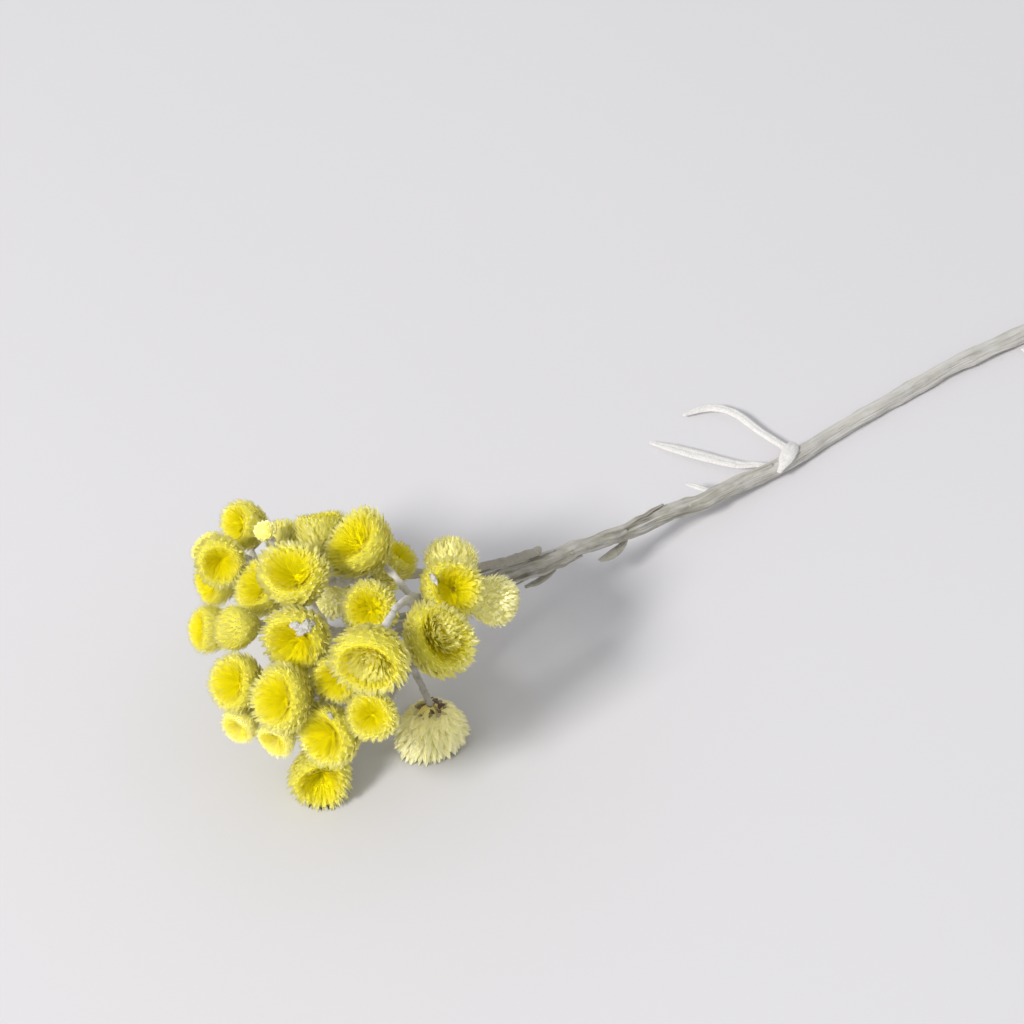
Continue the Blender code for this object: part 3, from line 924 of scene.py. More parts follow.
@dataclass
class FlowerHead:
    """One flower head of many papery bracts round a turned solid's axis."""

    node: str
    core: HeadCore
    seed: int
    trait: HeadTrait

    def share_out(self, stops: tuple) -> tuple[np.ndarray, np.ndarray]:
        """Share bracts out along the stops, so that each has the room that its spacing asks for.

        Args:
            stops: The lines that tips and roots follow.

        Returns:
            How far along the stops each bract is, from 0 to 1, and the stops' values there, one row each.
        """
        table = np.array([astuple(stop) for stop in stops])
        steps = np.linspace(0.0, len(stops) - 1.0, SAMPLES)
        fine = np.stack([np.interp(steps, np.arange(len(stops)), column) for column in table.T], axis=1)
        run = np.hypot(np.diff(fine[:, 0]), np.diff(fine[:, 1]))
        middle = 0.5 * (fine[1:] + fine[:-1])
        room = (middle[:, SPACING] * self.trait.coarse) ** 2
        amount = np.concatenate(([0.0], np.cumsum(2.0 * math.pi * middle[:, 0] * run / room)))
        count = int(amount[-1])
        wanted = (np.arange(count) + 0.5) * amount[-1] / count
        where = np.interp(wanted, amount, np.linspace(0.0, 1.0, len(amount)))
        evenly = np.linspace(0.0, 1.0, len(fine))
        return where, np.stack([np.interp(where, evenly, column) for column in fine.T], axis=1)

    def scatter(self, heap: MeshHeap, pattern: BractPattern, stops: tuple, share: tuple[float, float],
                chance: np.random.Generator, shift: tuple[float, float] = (0.0, 0.0)) -> None:
        """Set a spiral of bracts along the stops.

        Args:
            heap: The head's mesh so far.
            pattern: The bract.
            stops: The lines that tips and roots follow.
            share: The first and last tier number, from 0 at the stalk to 1 at the middle of the face.
            chance: The head's own random numbers.
            shift: How far the spiral's middle lies off the axis.
        """
        trait = self.trait
        where, picks = self.share_out(stops)
        count = len(where)
        wobble = chance.normal(size=(count, DRAWS))
        loose = picks[:, CUP] / TierStop.cup
        tip = picks[:, TIP] + LOOSE.tip * wobble[:, 0:2]
        root = picks[:, ROOT]
        lean = np.radians(picks[:, LEAN] + LOOSE.lean * wobble[:, 2] * loose * trait.coarse)
        width = 0.5 * picks[:, WIDTH] * (1.0 + LOOSE.width * wobble[:, 3]) * trait.breadth ** loose
        heading = np.stack((np.sin(lean), np.cos(lean)), axis=1)
        pull = tip - heading * 0.5 * np.linalg.norm(tip - root, axis=1, keepdims=True)
        turn = np.arange(count) * GOLDEN_ANGLE + LOOSE.turn * wobble[:, 4] + chance.uniform(0.0, WHOLE_TURN)
        twist = LOOSE.twist * wobble[:, 5] * loose
        cup = picks[:, CUP] * (1.0 + LOOSE.cup * wobble[:, 6]) * trait.coarse
        across, through, along = pattern.points.T
        gone = along[None, :, None]
        left = 1 - gone
        line = left ** 2 * root[:, None] + 2 * gone * left * pull[:, None] + gone ** 2 * tip[:, None]
        slope = 2 * left * (pull - root)[:, None] + 2 * gone * (tip - pull)[:, None]
        slope = slope / np.linalg.norm(slope, axis=2, keepdims=True)
        inward = np.stack((-slope[:, :, 1], slope[:, :, 0]), axis=2)
        side = across[None, :] * width[:, None]
        rise = through[None, :] * THICKNESS + cup[:, None] * across[None, :] ** 2 * width[:, None]
        side, rise = (side * np.cos(twist)[:, None] - rise * np.sin(twist)[:, None],
                      side * np.sin(twist)[:, None] + rise * np.cos(twist)[:, None])
        radial = line[:, :, 0] + inward[:, :, 0] * rise
        height = line[:, :, 1] + inward[:, :, 1] * rise
        cosine, sine = np.cos(turn)[:, None], np.sin(turn)[:, None]
        points = np.stack((radial * cosine - side * sine + shift[0], radial * sine + side * cosine + shift[1],
                           height), axis=2)
        tier = share[0] + (share[1] - share[0]) * where
        whim = np.clip(0.5 + LOOSE.whim * wobble[:, 7], trait.pallor, 1.0)
        dry = trait.base * np.clip(DRY_START - tier / DRY_TIERS, 0.0, 1.0)
        for index in range(count):
            marks = np.stack((along, np.full_like(along, tier[index]), np.full_like(along, whim[index]),
                              np.full_like(along, dry[index])), axis=1)
            flat = np.stack((across * 0.5 + 0.5 + MAP_STEP[0] * index,
                             along * MAP_LENGTH + MAP_STEP[1] * index), axis=1)
            if tier[index] > INNER_TIER:
                inner = pattern.inner_picks
                heap.add(points[index][inner], pattern.inner_faces, marks[inner], flat[inner])
            else:
                heap.add(points[index], pattern.faces, marks, flat)

    def set_florets(self, heap: MeshHeap, pattern: BractPattern, chance: np.random.Generator) -> None:
        """Set the tiny disc florets in the middle of the face.

        Args:
            heap: The head's mesh so far.
            pattern: The bract, which serves as a floret at a small size.
            chance: The head's own random numbers.
        """
        count = len(pattern.points)
        for index in range(FLORETS.count):
            reach = FLORETS.reach * math.sqrt((index + 0.5) / FLORETS.count)
            turn = index * GOLDEN_ANGLE
            length = FLORETS.length + FLORETS.spare_length * chance.random()
            spot = np.array((reach * math.cos(turn), reach * math.sin(turn), FLORETS.height))
            points = pattern.points * np.array((FLORETS.breadth, FLORETS.breadth, length)) + spot
            marks = np.tile((FLORETS.along, 1.0, chance.random(), self.trait.dots), (count, 1))
            heap.add(points, pattern.faces, marks, points[:, :2])

    def set_receptacle(self, heap: MeshHeap, core_pattern: CorePattern, form: HeadForm) -> None:
        """Set the receptacle: a bowl, with a young bud in it, or a dome.

        Args:
            heap: The head's mesh so far.
            core_pattern: The receptacle.
            form: How far the head has opened.
        """
        points = core_pattern.points.copy()
        count = len(points)
        reach = np.hypot(points[:, 0], points[:, 1])
        bowl = (points[:, 2] > SHAPE.bowl_floor) & (reach < SHAPE.rim)
        tiers = np.where(bowl, SHAPE.bowl_tier - SHAPE.bowl_fall * reach,
                         (points[:, 2] + SHAPE.flank_low) / SHAPE.flank_span)
        tiers = np.clip(tiers, 0.0, self.trait.ripeness if form is HeadForm.SHUT else 1.0)
        if form is HeadForm.ROSETTE:
            bud = bowl & (reach < SHAPE.bud_reach)
            points[bud, 2] = SHAPE.bud_edge + SHAPE.bud_rise * (1.0 - (reach[bud] / SHAPE.bud_reach) ** 2)
            points[bud, :2] += self.trait.bud
        if form is HeadForm.SHUT:
            points[bowl, 2] = SHAPE.dome_edge + SHAPE.dome_rise * (1.0 - (reach[bowl] / SHAPE.rim) ** 2)
        marks = np.stack((np.zeros(count), tiers, np.full(count, SHAPE.core_whim), np.zeros(count)), axis=1)
        heap.add(points, core_pattern.faces, marks, points[:, :2])

    def settle(self, heap: MeshHeap, chance: np.random.Generator) -> None:
        """Make the head a little uneven, and set it on its solid's place.

        Args:
            heap: The head's mesh, in head radii about its own axis.
            chance: The head's own random numbers.
        """
        oval = 1.0 + SHAPE.oval * chance.normal(size=3)
        phase = chance.uniform(0.0, WHOLE_TURN, size=3)
        spin = np.array(self.core.axis.to_track_quat("Z", "Y").to_matrix())
        for index, points in enumerate(heap.points):
            bearing = np.arctan2(points[:, 1], points[:, 0])
            out = np.hypot(points[:, 0], points[:, 1])
            swell = (1.0 + SHAPE.pinch * np.cos(2.0 * bearing + phase[0])
                     + SHAPE.lobes * np.cos(3.0 * bearing + phase[1]))
            sway = SHAPE.sway * out ** 2 * np.cos(2.0 * bearing + phase[2])
            points = np.stack((points[:, 0] * swell, points[:, 1] * swell, points[:, 2] + sway), axis=1)
            size = self.core.radius * self.trait.spread
            placed = (points * oval * size) @ spin.T + np.array(self.core.middle)
            placed[:, 2] = np.maximum(placed[:, 2], CLEARANCE)
            heap.points[index] = placed

    def build(self, pattern: BractPattern, core_pattern: CorePattern) -> bpy.types.Object:
        """Build the head.

        Args:
            pattern: The bract.
            core_pattern: The receptacle.

        Returns:
            The head's object, in place.
        """
        chance = np.random.default_rng(self.seed)
        form = HeadForm.OPEN if self.trait.loosened else self.core.form
        heap = MeshHeap()
        self.set_receptacle(heap, core_pattern, form)
        if form is HeadForm.SHUT:
            self.scatter(heap, pattern, SHUT_TIERS, (0.0, self.trait.ripeness), chance)
        else:
            self.scatter(heap, pattern, OPEN_TIERS, (0.0, 1.0), chance)
            if self.trait.dots:
                self.set_florets(heap, pattern, chance)
        if form is HeadForm.ROSETTE:
            self.scatter(heap, pattern, BUD_TIERS, BUD_SHARE, chance, self.trait.bud)
        self.settle(heap, chance)
        head = heap.build(self.node + "_bracts", "bract", "veins")
        make_active(head)
        bpy.ops.object.shade_smooth_by_angle(angle=BRACT_CREASE)
        return head


# --------------------------------------------------------------------------------------------------
# Stems, stalks and leaves
# --------------------------------------------------------------------------------------------------

@dataclass(frozen=True)
class BarkLayer:
    """One noise of the bark, on a ring about the stem."""

    round_fineness: float       # the ring's radius in the noise
    run_fineness: float         # how fast the noise goes by for each millimetre along the stem
    height: float               # its height, as a share of the stem's radius

    def read(self, place: float, angle: float) -> float:
        """Read the noise.

        Args:
            place: Millimetres along the stem.
            angle: Radians round it.

        Returns:
            The noise, from -1 to 1.
        """
        across, upward = self.round_fineness * math.cos(angle), self.round_fineness * math.sin(angle)
        return noise.noise(Vector((across, upward, place * self.run_fineness)))


FURROWS = BarkLayer(2.2, 0.10, 0.20)
CRACKS = BarkLayer(6.5, 0.16, 0.14)
LUMPS = BarkLayer(0.8, 0.28, 0.16)


@dataclass
class MainStem:
    """The long stem: a fibrous tube along its solid, with ridges, knots and a slanting cut end."""

    node: str = "main_stem"
    around: int = 64
    along: int = 420
    ring_gap: float = 0.6 * MM      # the solid's rings stand at least this far apart in X
    ring_points: int = 6            # and have at least this many points
    cut_from: float = 0.97          # the slanting cut takes up the rest of the length
    map_breadth: float = 0.0013     # the map's metres for each radian round the stem
    wool_from: float = 0.26         # share of the length where the white wool starts
    wool_gain: float = 2.4
    wool_most: float = 0.55
    rough_at: float = 42.0          # millimetres from the crown to the roughest bark
    rough_span: float = 26.0
    rough_gain: float = 0.8
    crease: float = math.radians(50.0)

    def stations(self) -> tuple[np.ndarray, np.ndarray]:
        """Find the solid's middle line and radius.

        Returns:
            The middles of its rings from the crown to the cut end, and the radius at each.
        """
        solid = bpy.data.objects[self.node].data
        points = np.unique(np.round(points_of(solid), 7), axis=0)
        points = points[np.argsort(points[:, 0])]
        breaks = np.where(np.diff(points[:, 0]) > self.ring_gap)[0] + 1
        rings = [ring for ring in np.split(points, breaks) if len(ring) >= self.ring_points]
        middles = np.array([ring.mean(axis=0) for ring in rings])
        radii = np.array([np.linalg.norm(ring - middle, axis=1).mean()
                          for ring, middle in zip(rings, middles)])
        last = middles[-1] - middles[-2]
        middles[-1] += last * (points[-1, 0] - middles[-1, 0]) / last[0]
        radii[-1] = radii[-2]
        return middles, radii

    def build(self) -> bpy.types.Object:
        """Build the stem.

        Returns:
            The stem's object, in place.
        """
        middles, radii = self.stations()
        deselect_all()
        bpy.ops.mesh.primitive_grid_add(x_subdivisions=self.along, y_subdivisions=self.around, size=2.0,
                                        calc_uvs=True)
        stem = bpy.context.object
        stem.name = "stem_bark"
        mesh = stem.data
        flat = points_of(mesh)
        run = (flat[:, 0] + 1.0) * 0.5
        turn = (flat[:, 1] + 1.0) * math.pi
        reach = arc_lengths(middles)
        at = run * reach[-1]
        onward = along_line(at + MM, reach, middles) - along_line(at - MM, reach, middles)
        onward /= np.linalg.norm(onward, axis=1, keepdims=True)
        across = np.cross(UP, onward)
        across /= np.linalg.norm(across, axis=1, keepdims=True)
        upward = np.cross(onward, across)
        bark = np.array([self.bark(place, angle) for place, angle in zip(at / MM, turn)])
        radius = np.interp(at, reach, radii) * (1.0 + bark)
        out = across * np.cos(turn)[:, None] + upward * np.sin(turn)[:, None]
        cut = np.clip((run - self.cut_from) / (1.0 - self.cut_from), 0.0, 1.0)
        slant = -cut * radius * (1.0 + np.cos(turn))
        places = along_line(at, reach, middles) + out * radius[:, None] + onward * slant[:, None]
        move_points(mesh, places)
        mesh.uv_layers[0].name = "stem"
        write_map(mesh, mesh.uv_layers["stem"], np.stack((at, turn * self.map_breadth), axis=1))
        wool = mesh.attributes.new("wool", "FLOAT", "POINT")
        whiteness = np.clip((run - self.wool_from) * self.wool_gain, 0.0, self.wool_most)
        wool.data.foreach_set("value", whiteness.astype(np.float32))
        self.close(stem)
        bpy.ops.object.shade_smooth_by_angle(angle=self.crease)
        return stem

    @staticmethod
    def close(stem: bpy.types.Object) -> None:
        """Join the tube's seam, fill its ends and turn its faces outwards.

        Args:
            stem: The open tube.
        """
        make_active(stem)
        bpy.ops.object.mode_set(mode="EDIT")
        bpy.ops.mesh.select_all(action="SELECT")
        bpy.ops.mesh.remove_doubles(threshold=2.0 * WELD)
        bpy.ops.mesh.select_all(action="DESELECT")
        bpy.ops.mesh.select_non_manifold()
        bpy.ops.mesh.edge_face_add()
        bpy.ops.mesh.select_all(action="SELECT")
        bpy.ops.mesh.normals_make_consistent(inside=False)
        bpy.ops.object.mode_set(mode="OBJECT")

    def bark(self, place: float, angle: float) -> float:
        """Tell how far the bark stands out at a place.

        Args:
            place: Millimetres along the stem.
            angle: Radians round it.

        Returns:
            The height as a share of the radius.
        """
        gain = 1.0 + self.rough_gain * math.exp(-((place - self.rough_at) / self.rough_span) ** 2)
        crack = 0.5 - 2.0 * abs(CRACKS.read(place, angle))
        return gain * (FURROWS.height * FURROWS.read(place, angle) + CRACKS.height * crack
                       + LUMPS.height * LUMPS.read(place, angle))


@dataclass
class StemStrand:
    """A fibre bundle that has come loose from the main stem and runs along it."""

    name: str
    start: float            # millimetres along the stem
    end: float
    turns: tuple            # where round the stem it starts and ends, in radians
    lifts: tuple            # how far off the bark it starts and ends, in millimetres
    thickness: float        # half its height in the middle, in millimetres
    flatness: float = 1.4   # how much broader than high it is
    waver: float = 0.22     # how far it wavers off its line, in millimetres
    waver_fineness: float = 0.5
    thin_share: float = 0.35        # how thick its ends are
    rings: int = 40
    sides: int = 8
    map_breadth: float = 0.0005     # the map's metres for each radian round the strand
    map_start: float = 0.01

    def build(self, middles: np.ndarray, radii: np.ndarray) -> bpy.types.Object:
        """Build the strand.

        Args:
            middles: The stem's middle line.
            radii: Its radius at each stop of that line.

        Returns:
            The strand's object, in place.
        """
        strand = self.model()
        mesh = strand.data
        reach = arc_lengths(middles)
        flat = points_of(mesh)
        run = 0.5 * (flat[:, 2] + 1.0)
        at = (self.start + (self.end - self.start) * run) * MM
        centre = along_line(at, reach, middles)
        onward = along_line(at + 0.5 * MM, reach, middles) - centre
        onward = onward / np.linalg.norm(onward, axis=1, keepdims=True)
        across = np.cross(UP, onward)
        upward = np.cross(onward, across)
        turn = self.turns[0] + (self.turns[1] - self.turns[0]) * run
        out = across * np.cos(turn)[:, None] + upward * np.sin(turn)[:, None]
        beside = np.cross(onward, out)
        waver = np.array([noise.noise(Vector((place * self.waver_fineness, self.start, 0.0)))
                          for place in at / MM])
        lift = (self.lifts[0] + (self.lifts[1] - self.lifts[0]) * run) * MM + self.waver * MM * waver
        swell = np.sin(math.pi * np.clip(run, 0.03, 0.97)) ** 0.5
        girth = self.thickness * MM * (self.thin_share + (1.0 - self.thin_share) * swell)
        middle = centre + out * (np.interp(at, reach, radii) + lift)[:, None]
        move_points(mesh, middle + out * (flat[:, 0] * girth)[:, None]
                    + beside * (flat[:, 1] * girth * self.flatness)[:, None])
        mesh.uv_layers[0].name = "stem"
        across_map = np.arctan2(flat[:, 1], flat[:, 0]) * self.map_breadth + self.map_start
        write_map(mesh, mesh.uv_layers["stem"], np.stack((at, across_map), axis=1))
        mesh.attributes.new("wool", "FLOAT", "POINT")
        mesh.shade_smooth()
        return strand

    def model(self) -> bpy.types.Object:
        """Model a straight strand of many rings along Z.

        Returns:
            The strand's object, two units long.
        """
        deselect_all()
        bpy.ops.mesh.primitive_cylinder_add(vertices=self.sides, radius=1.0, depth=2.0, end_fill_type="NGON")
        strand = bpy.context.object
        strand.name = self.name
        bpy.ops.object.mode_set(mode="EDIT")
        for step in range(1, self.rings):
            bpy.ops.mesh.select_all(action="SELECT")
            bpy.ops.mesh.bisect(plane_co=(0.0, 0.0, 2.0 * step / self.rings - 1.0), plane_no=UP)
        bpy.ops.object.mode_set(mode="OBJECT")
        return strand


STRANDS = (
    StemStrand("strand_over", 19.0, 34.0, (0.9, 1.1), (0.75, -0.05), 0.42),
    StemStrand("strand_beside", 26.0, 39.0, (3.6, 4.0), (0.05, 0.25), 0.34),
    StemStrand("strand_peeling", 44.0, 57.0, (1.5, 1.0), (-0.10, 0.30), 0.30),
    StemStrand("strand_step", 36.0, 48.0, (2.5, 2.2), (0.10, 0.05), 0.40),
    StemStrand("strand_far", 61.0, 78.0, (2.2, 1.7), (-0.12, 0.02), 0.32),
    StemStrand("strand_under", 24.0, 30.0, (4.3, 4.0), (0.9, 0.1), 0.14),
)


@dataclass
class WoollyBranch:
    """A side stem with its flower stalks, felted over: its solid, refined and matted with wool."""

    node: str
    voxel: float = 0.17 * MM
    swell: float = 0.10 * MM
    matting: tuple = ((0.9, 0.16), (2.6, 0.10))     # fineness per millimetre and height in millimetres

    def build(self) -> bpy.types.Object:
        """Build the branch.

        Returns:
            The branch's object, in place.
        """
        solid = bpy.data.objects[self.node]
        branch = bpy.data.objects.new(self.node + "_wool", solid.data.copy())
        bpy.context.scene.collection.objects.link(branch)
        make_active(branch)
        bpy.ops.object.mode_set(mode="EDIT")
        bpy.ops.mesh.select_all(action="SELECT")
        bpy.ops.mesh.remove_doubles(threshold=WELD)
        bpy.ops.object.mode_set(mode="OBJECT")
        apply_modifier(branch, "REMESH", mode="VOXEL", voxel_size=self.voxel, use_smooth_shade=True)
        apply_modifier(branch, "SMOOTH", factor=0.5, iterations=3)
        roughen(branch, self.swell, self.matting)
        branch.data.shade_smooth()
        return branch


@dataclass
class WoolTuft:
    """A scrap of white wool caught on a flower head."""

    name: str
    node: str
    toward: tuple           # the direction from the head's middle
    reach: float            # how far out it sits, in head radii
    size: tuple             # half its length, breadth and height, in millimetres
    lumps: tuple = (2.6, 0.9)       # fineness and height of its raggedness, in large
    crumbs: tuple = (7.0, 0.55)     # and in small
    crumple: float = 0.12   # how far it stands up and down, in millimetres
    hug: float = 0.6        # how closely it bends to the head

    def build(self, core: HeadCore) -> bpy.types.Object:
        """Build the scrap.

        Args:
            core: The place and size of the head that holds it.

        Returns:
            The scrap's object, in place.
        """
        deselect_all()
        bpy.ops.mesh.primitive_ico_sphere_add(subdivisions=4, radius=1.0)
        tuft = bpy.context.object
        tuft.name = self.name
        out = Vector(self.toward).normalized()
        turn = out.to_track_quat("Z", "Y").to_matrix()
        middle = core.middle + out * core.radius * self.reach
        for vertex in tuft.data.vertices:
            spot = vertex.co.copy()
            lump = self.lumps[1] * noise.noise(spot * self.lumps[0] + out * 9.0)
            crumb = self.crumbs[1] * noise.noise(spot * self.crumbs[0])
            rough = 1.0 + lump + crumb
            place = Vector([rough * part * half * MM for part, half in zip(spot, self.size)])
            place.z += self.crumple * MM * noise.noise(spot * 4.0 + out)
            place.z -= (place.x ** 2 + place.y ** 2) / core.radius * self.hug
            vertex.co = middle + turn @ place
        tuft.data.shade_smooth()
        return tuft


TUFTS = (
    WoolTuft("wool_on_head_25", "head_25", (0.07, -0.39, 0.92), 1.0, (1.25, 0.62, 0.14)),
    WoolTuft("flake_on_head_25", "head_25", (-0.20, -0.16, 0.97), 1.0, (0.55, 0.45, 0.10)),
    WoolTuft("wool_on_head_01", "head_01", (-0.62, 0.15, 0.77), 1.05, (0.9, 0.30, 0.12)),
    WoolTuft("wool_on_head_30", "head_30", (0.05, -0.02, 1.0), 1.01, (0.5, 0.26, 0.10)),
)


LOOK_AHEAD = 0.2 * MM       # the step that tells a leaf's direction
OVERRUN = 1.2               # how far past its last stretch's start, in stretches, a leaf's curve is read


@dataclass
class FeltLeaf:
    """A narrow leaf with rolled edges, along a middle line given in shares of its solid's box."""

    node: str
    stops: tuple            # x, y, z as shares of the box, and half width in millimetres
    roll: float = 0.9       # how far the edges curl under, in radians
    thickness: float = 0.34
    groove: float = 0.12    # depth of the midrib's groove, in millimetres
    groove_fall: float = 5.0        # how fast the groove ends towards the edges
    ruffles: tuple = ((0.9, 0.10), (3.0, 0.05))     # fineness per millimetre and height in millimetres
    columns: int = 10
    rows: int = 48

    def build(self) -> bpy.types.Object:
        """Build the leaf.

        Returns:
            The leaf's object, in place.
        """
        low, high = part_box(self.node)
        deselect_all()
        bpy.ops.mesh.primitive_grid_add(x_subdivisions=self.columns, y_subdivisions=self.rows, size=2.0)
        leaf = bpy.context.object
        leaf.name = self.node + "_felt"
        line = np.array([[low[axis] + (high[axis] - low[axis]) * stop[axis] for axis in range(3)]
                         for stop in self.stops])
        half = np.array([stop[3] for stop in self.stops]) * MM
        reach = arc_lengths(line)
        for vertex in leaf.data.vertices:
            run = (vertex.co.y + 1.0) * 0.5 * reach[-1]
            vertex.co = self.place(run, vertex.co.x, reach, line, half)
        apply_modifier(leaf, "SOLIDIFY", thickness=self.thickness * MM, offset=0.0)
        apply_modifier(leaf, "SUBSURF", levels=1, render_levels=1)
        move_points(leaf.data, points_of(leaf.data))
        leaf.data.shade_smooth()
        return leaf

    def place(self, run: float, side: float, reach: np.ndarray, line: np.ndarray, half: np.ndarray) -> Vector:
        """Find a place on the leaf.

        Args:
            run: The distance along its middle line.
            side: How far across it, from -1 to 1.
            reach: The distance of each stop.
            line: The middle line's stops.
            half: Half the width at each stop.

        Returns:
            The place.
        """
        centre, ahead = (Vector([self.smooth(run + step, reach, line[:, axis]) for axis in range(3)])
                         for step in (0.0, LOOK_AHEAD))
        onward = (ahead - centre).normalized()
        across = onward.cross(Vector(UP)).normalized()
        above = across.cross(onward).normalized()
        width = self.smooth(run, reach, half)
        curl = side * self.roll
        out = math.sin(curl) / self.roll * width
        drop = (1.0 - math.cos(curl)) / self.roll * width
        spot = Vector((run / MM, side * 2.0, 3.0))
        ruffle = sum(height * noise.noise(spot * fineness) for fineness, height in self.ruffles)
        groove = self.groove * math.exp(-(side * self.groove_fall) ** 2)
        return centre + across * out + above * ((ruffle - groove) * MM - drop)

    @staticmethod
    def smooth(run: float, reach: np.ndarray, values: np.ndarray) -> float:
        """Read a smooth curve through the stops.

        Args:
            run: The distance along the middle line.
            reach: The distance of each stop.
            values: The value at each stop.

        Returns:
            The value at that distance, from a Catmull-Rom curve.
        """
        last = len(reach) - 1
        index = int(np.clip(np.searchsorted(reach, run) - 1, 0, last - 1))
        share = min(max((run - reach[index]) / (reach[index + 1] - reach[index]), 0.0), OVERRUN)
        start, end = values[index], values[index + 1]
        before = values[index - 1] if index > 0 else 2.0 * start - end
        after = values[index + 2] if index + 2 <= last else 2.0 * end - start
        return float(0.5 * (2.0 * start + (end - before) * share
                            + (2.0 * before - 5.0 * start + 4.0 * end - after) * share ** 2
                            + (3.0 * start - before - 3.0 * end + after) * share ** 3))


LEAVES = (
    FeltLeaf("leaf_long_upper", roll=1.1, stops=(
        (0.96, -0.14, 0.70, 0.85), (0.91, 0.06, 0.74, 0.75), (0.86, 0.32, 0.68, 0.80),
        (0.80, 0.67, 0.82, 0.85), (0.54, 0.89, 0.61, 0.90), (0.01, 0.98, 0.25, 0.25))),
    FeltLeaf("leaf_long_lower", roll=0.6, stops=(
        (1.07, -0.06, 0.82, 0.60), (0.96, 0.03, 0.82, 0.55), (0.74, 0.18, 0.61, 0.85),
        (0.45, 0.50, 0.54, 1.05), (0.20, 0.79, 0.46, 0.85), (0.02, 0.99, 0.25, 0.18))),
    FeltLeaf("leaf_clasping", roll=0.8, stops=(
        (0.72, 1.27, 0.05, 0.60), (0.48, 1.00, 0.58, 1.25), (0.08, 0.66, 0.58, 1.20),
        (-0.39, 0.35, -0.01, 0.30))),
    FeltLeaf("leaf_stub", (
        (0.95, -0.25, 0.55, 0.60), (0.81, 0.06, 0.65, 0.55), (0.45, 0.55, 0.65, 0.50),
        (0.08, 0.96, 0.51, 0.22))),
    FeltLeaf("leaf_hidden_base", (
        (1.13, 1.39, 0.58, 0.50), (1.00, 0.60, 0.78, 0.55), (0.47, 0.54, 0.66, 0.90),
        (0.00, 0.65, 0.28, 0.40))),
    FeltLeaf("leaf_withered_upper", (
        (1.20, 1.04, 0.85, 0.50), (0.98, 0.71, 0.40, 0.60), (0.53, 0.47, 0.41, 0.85),
        (0.01, 0.22, 0.83, 0.35))),
    FeltLeaf("leaf_withered_lower", (
        (1.13, 0.91, 0.66, 0.45), (0.98, 0.74, 0.35, 0.50), (0.51, 0.39, 0.45, 0.60),
        (0.01, 0.18, 0.86, 0.25))),
)


# --------------------------------------------------------------------------------------------------
# Table, lamps and camera
# --------------------------------------------------------------------------------------------------

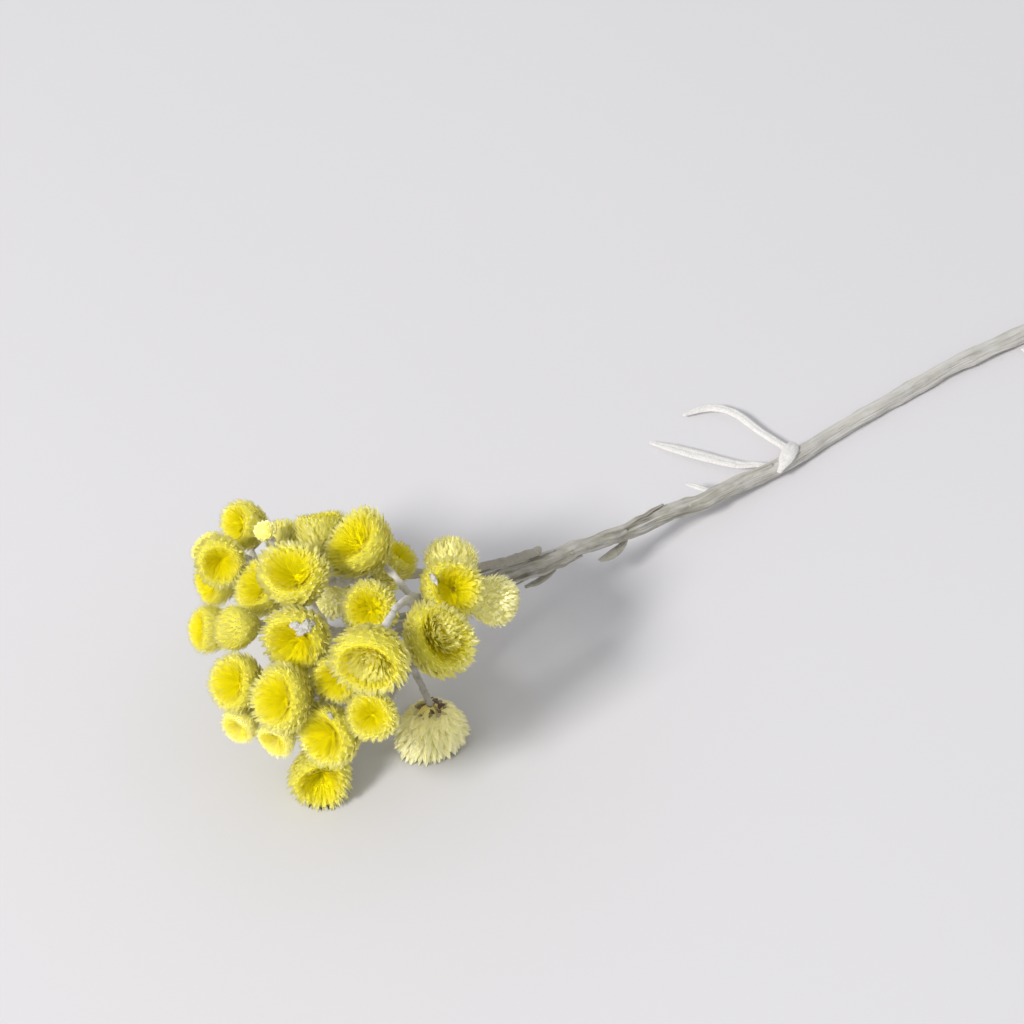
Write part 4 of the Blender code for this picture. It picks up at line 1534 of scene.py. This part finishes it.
@dataclass
class Studio:
    """The pale table, a soft key lamp at the left front, even surroundings and the camera."""

    azimuth: float = -39.0
    elevation: float = 45.0
    distance: float = 0.415
    lens: float = 98.4
    sensor: float = 36.0
    nearest: float = 0.01               # the camera sees nothing nearer than this
    aim: tuple = (0.3279, 0.8440)       # shares of the footprint
    key_right: float = -0.86            # where the key lamp stands, per unit of height, seen from the camera
    key_away: float = -0.90
    key_distance: float = 1.8
    key_size: float = 0.34
    key_power: float = 23.1
    key_colour: tuple = (1.0, 0.985, 0.96)
    surroundings: float = 0.54
    surroundings_colour: Colour = (0.97, 0.975, 1.0, 1.0)
    table_size: float = 4.0

    def build(self, low: Vector, high: Vector) -> None:
        """Build the table, the lamps and the camera.

        Args:
            low: The lowest corner of the sprig's box.
            high: Its highest corner.
        """
        turn, lift = math.radians(self.azimuth), math.radians(self.elevation)
        back = Vector((math.sin(turn) * math.cos(lift), -math.cos(turn) * math.cos(lift), math.sin(lift)))
        right = Vector((math.cos(turn), math.sin(turn), 0.0))
        away = Vector((-math.sin(turn), math.cos(turn), 0.0))
        target = Vector((low.x + (high.x - low.x) * self.aim[0], low.y + (high.y - low.y) * self.aim[1], 0.0))
        toward_key = right * self.key_right + away * self.key_away + Vector(UP)
        self.build_table()
        self.build_lamps(target, toward_key.normalized())
        bpy.ops.object.camera_add(location=target + back * self.distance)
        camera = bpy.context.object
        camera.rotation_euler = back.to_track_quat("Z", "Y").to_euler()
        camera.data.lens = self.lens
        camera.data.sensor_width = self.sensor
        camera.data.clip_start = self.nearest
        bpy.context.scene.camera = camera
        bpy.context.scene.view_settings.view_transform = "Standard"

    def build_table(self) -> None:
        """Build the table."""
        deselect_all()
        bpy.ops.mesh.primitive_plane_add(size=self.table_size)
        table = bpy.context.object
        table.name = "table"
        table.data.materials.append(FloorFinish().build())
        table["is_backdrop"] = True

    def build_lamps(self, target: Vector, toward_key: Vector) -> None:
        """Build the key lamp and the surroundings.

        Args:
            target: The place that the lamp lights.
            toward_key: The direction from there to the lamp.
        """
        bpy.ops.object.light_add(type="AREA", location=target + toward_key * self.key_distance)
        key = bpy.context.object
        key.name = "key_lamp"
        key.rotation_euler = toward_key.to_track_quat("Z", "Y").to_euler()
        key.data.size = self.key_size
        key.data.energy = self.key_power
        key.data.color = self.key_colour
        world = bpy.data.worlds.new("surroundings")
        bpy.context.scene.world = world
        world.use_nodes = True
        background = world.node_tree.nodes["Background"]
        background.inputs["Color"].default_value = self.surroundings_colour
        background.inputs["Strength"].default_value = self.surroundings


def main() -> None:
    """Dress the sprig."""
    packed_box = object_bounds()
    low, high = (Vector(corner) for corner in packed_box)
    finishes = {"yellow_bracts": YELLOW_BRACTS.build(), "pale_bracts": PALE_BRACTS.build()}
    slots = {part["node"]: part["material_slot"] for part in frame["record"]["subparts"]}
    wool, bark = STALK_WOOL.build(), StemFinish().build()
    felt, withered = LEAF_FELT.build(), WITHERED_FELT.build()
    pattern, core_pattern = BractPattern(), CorePattern()
    heads = sorted(name for name in frame["nodes"] if name.startswith("head_"))
    for seed, node in enumerate(heads, 1):
        head = FlowerHead(node, HeadCore.of(frame["nodes"][node]), seed, HEAD_TRAITS.get(node, HeadTrait()))
        slot = slots[node]
        place_piece(head.build(pattern, core_pattern), finishes[slot], slot, node)
    stem = MainStem()
    middles, radii = stem.stations()
    place_piece(stem.build(), bark, "woolly_stem", stem.node)
    for strand in STRANDS:
        place_piece(strand.build(middles, radii), bark, "woolly_stem")
    for node in sorted(name for name in frame["nodes"] if name.startswith("side_stem_")):
        place_piece(WoollyBranch(node).build(), wool, "flower_stalk", node)
    for tuft in TUFTS:
        place_piece(tuft.build(HeadCore.of(frame["nodes"][tuft.node])), wool, "flower_stalk")
    for leaf in LEAVES:
        place_piece(leaf.build(), withered if "withered" in leaf.node else felt, "felted_leaf", leaf.node)
    Studio().build(low, high)


if __name__ == "__main__":
    main()
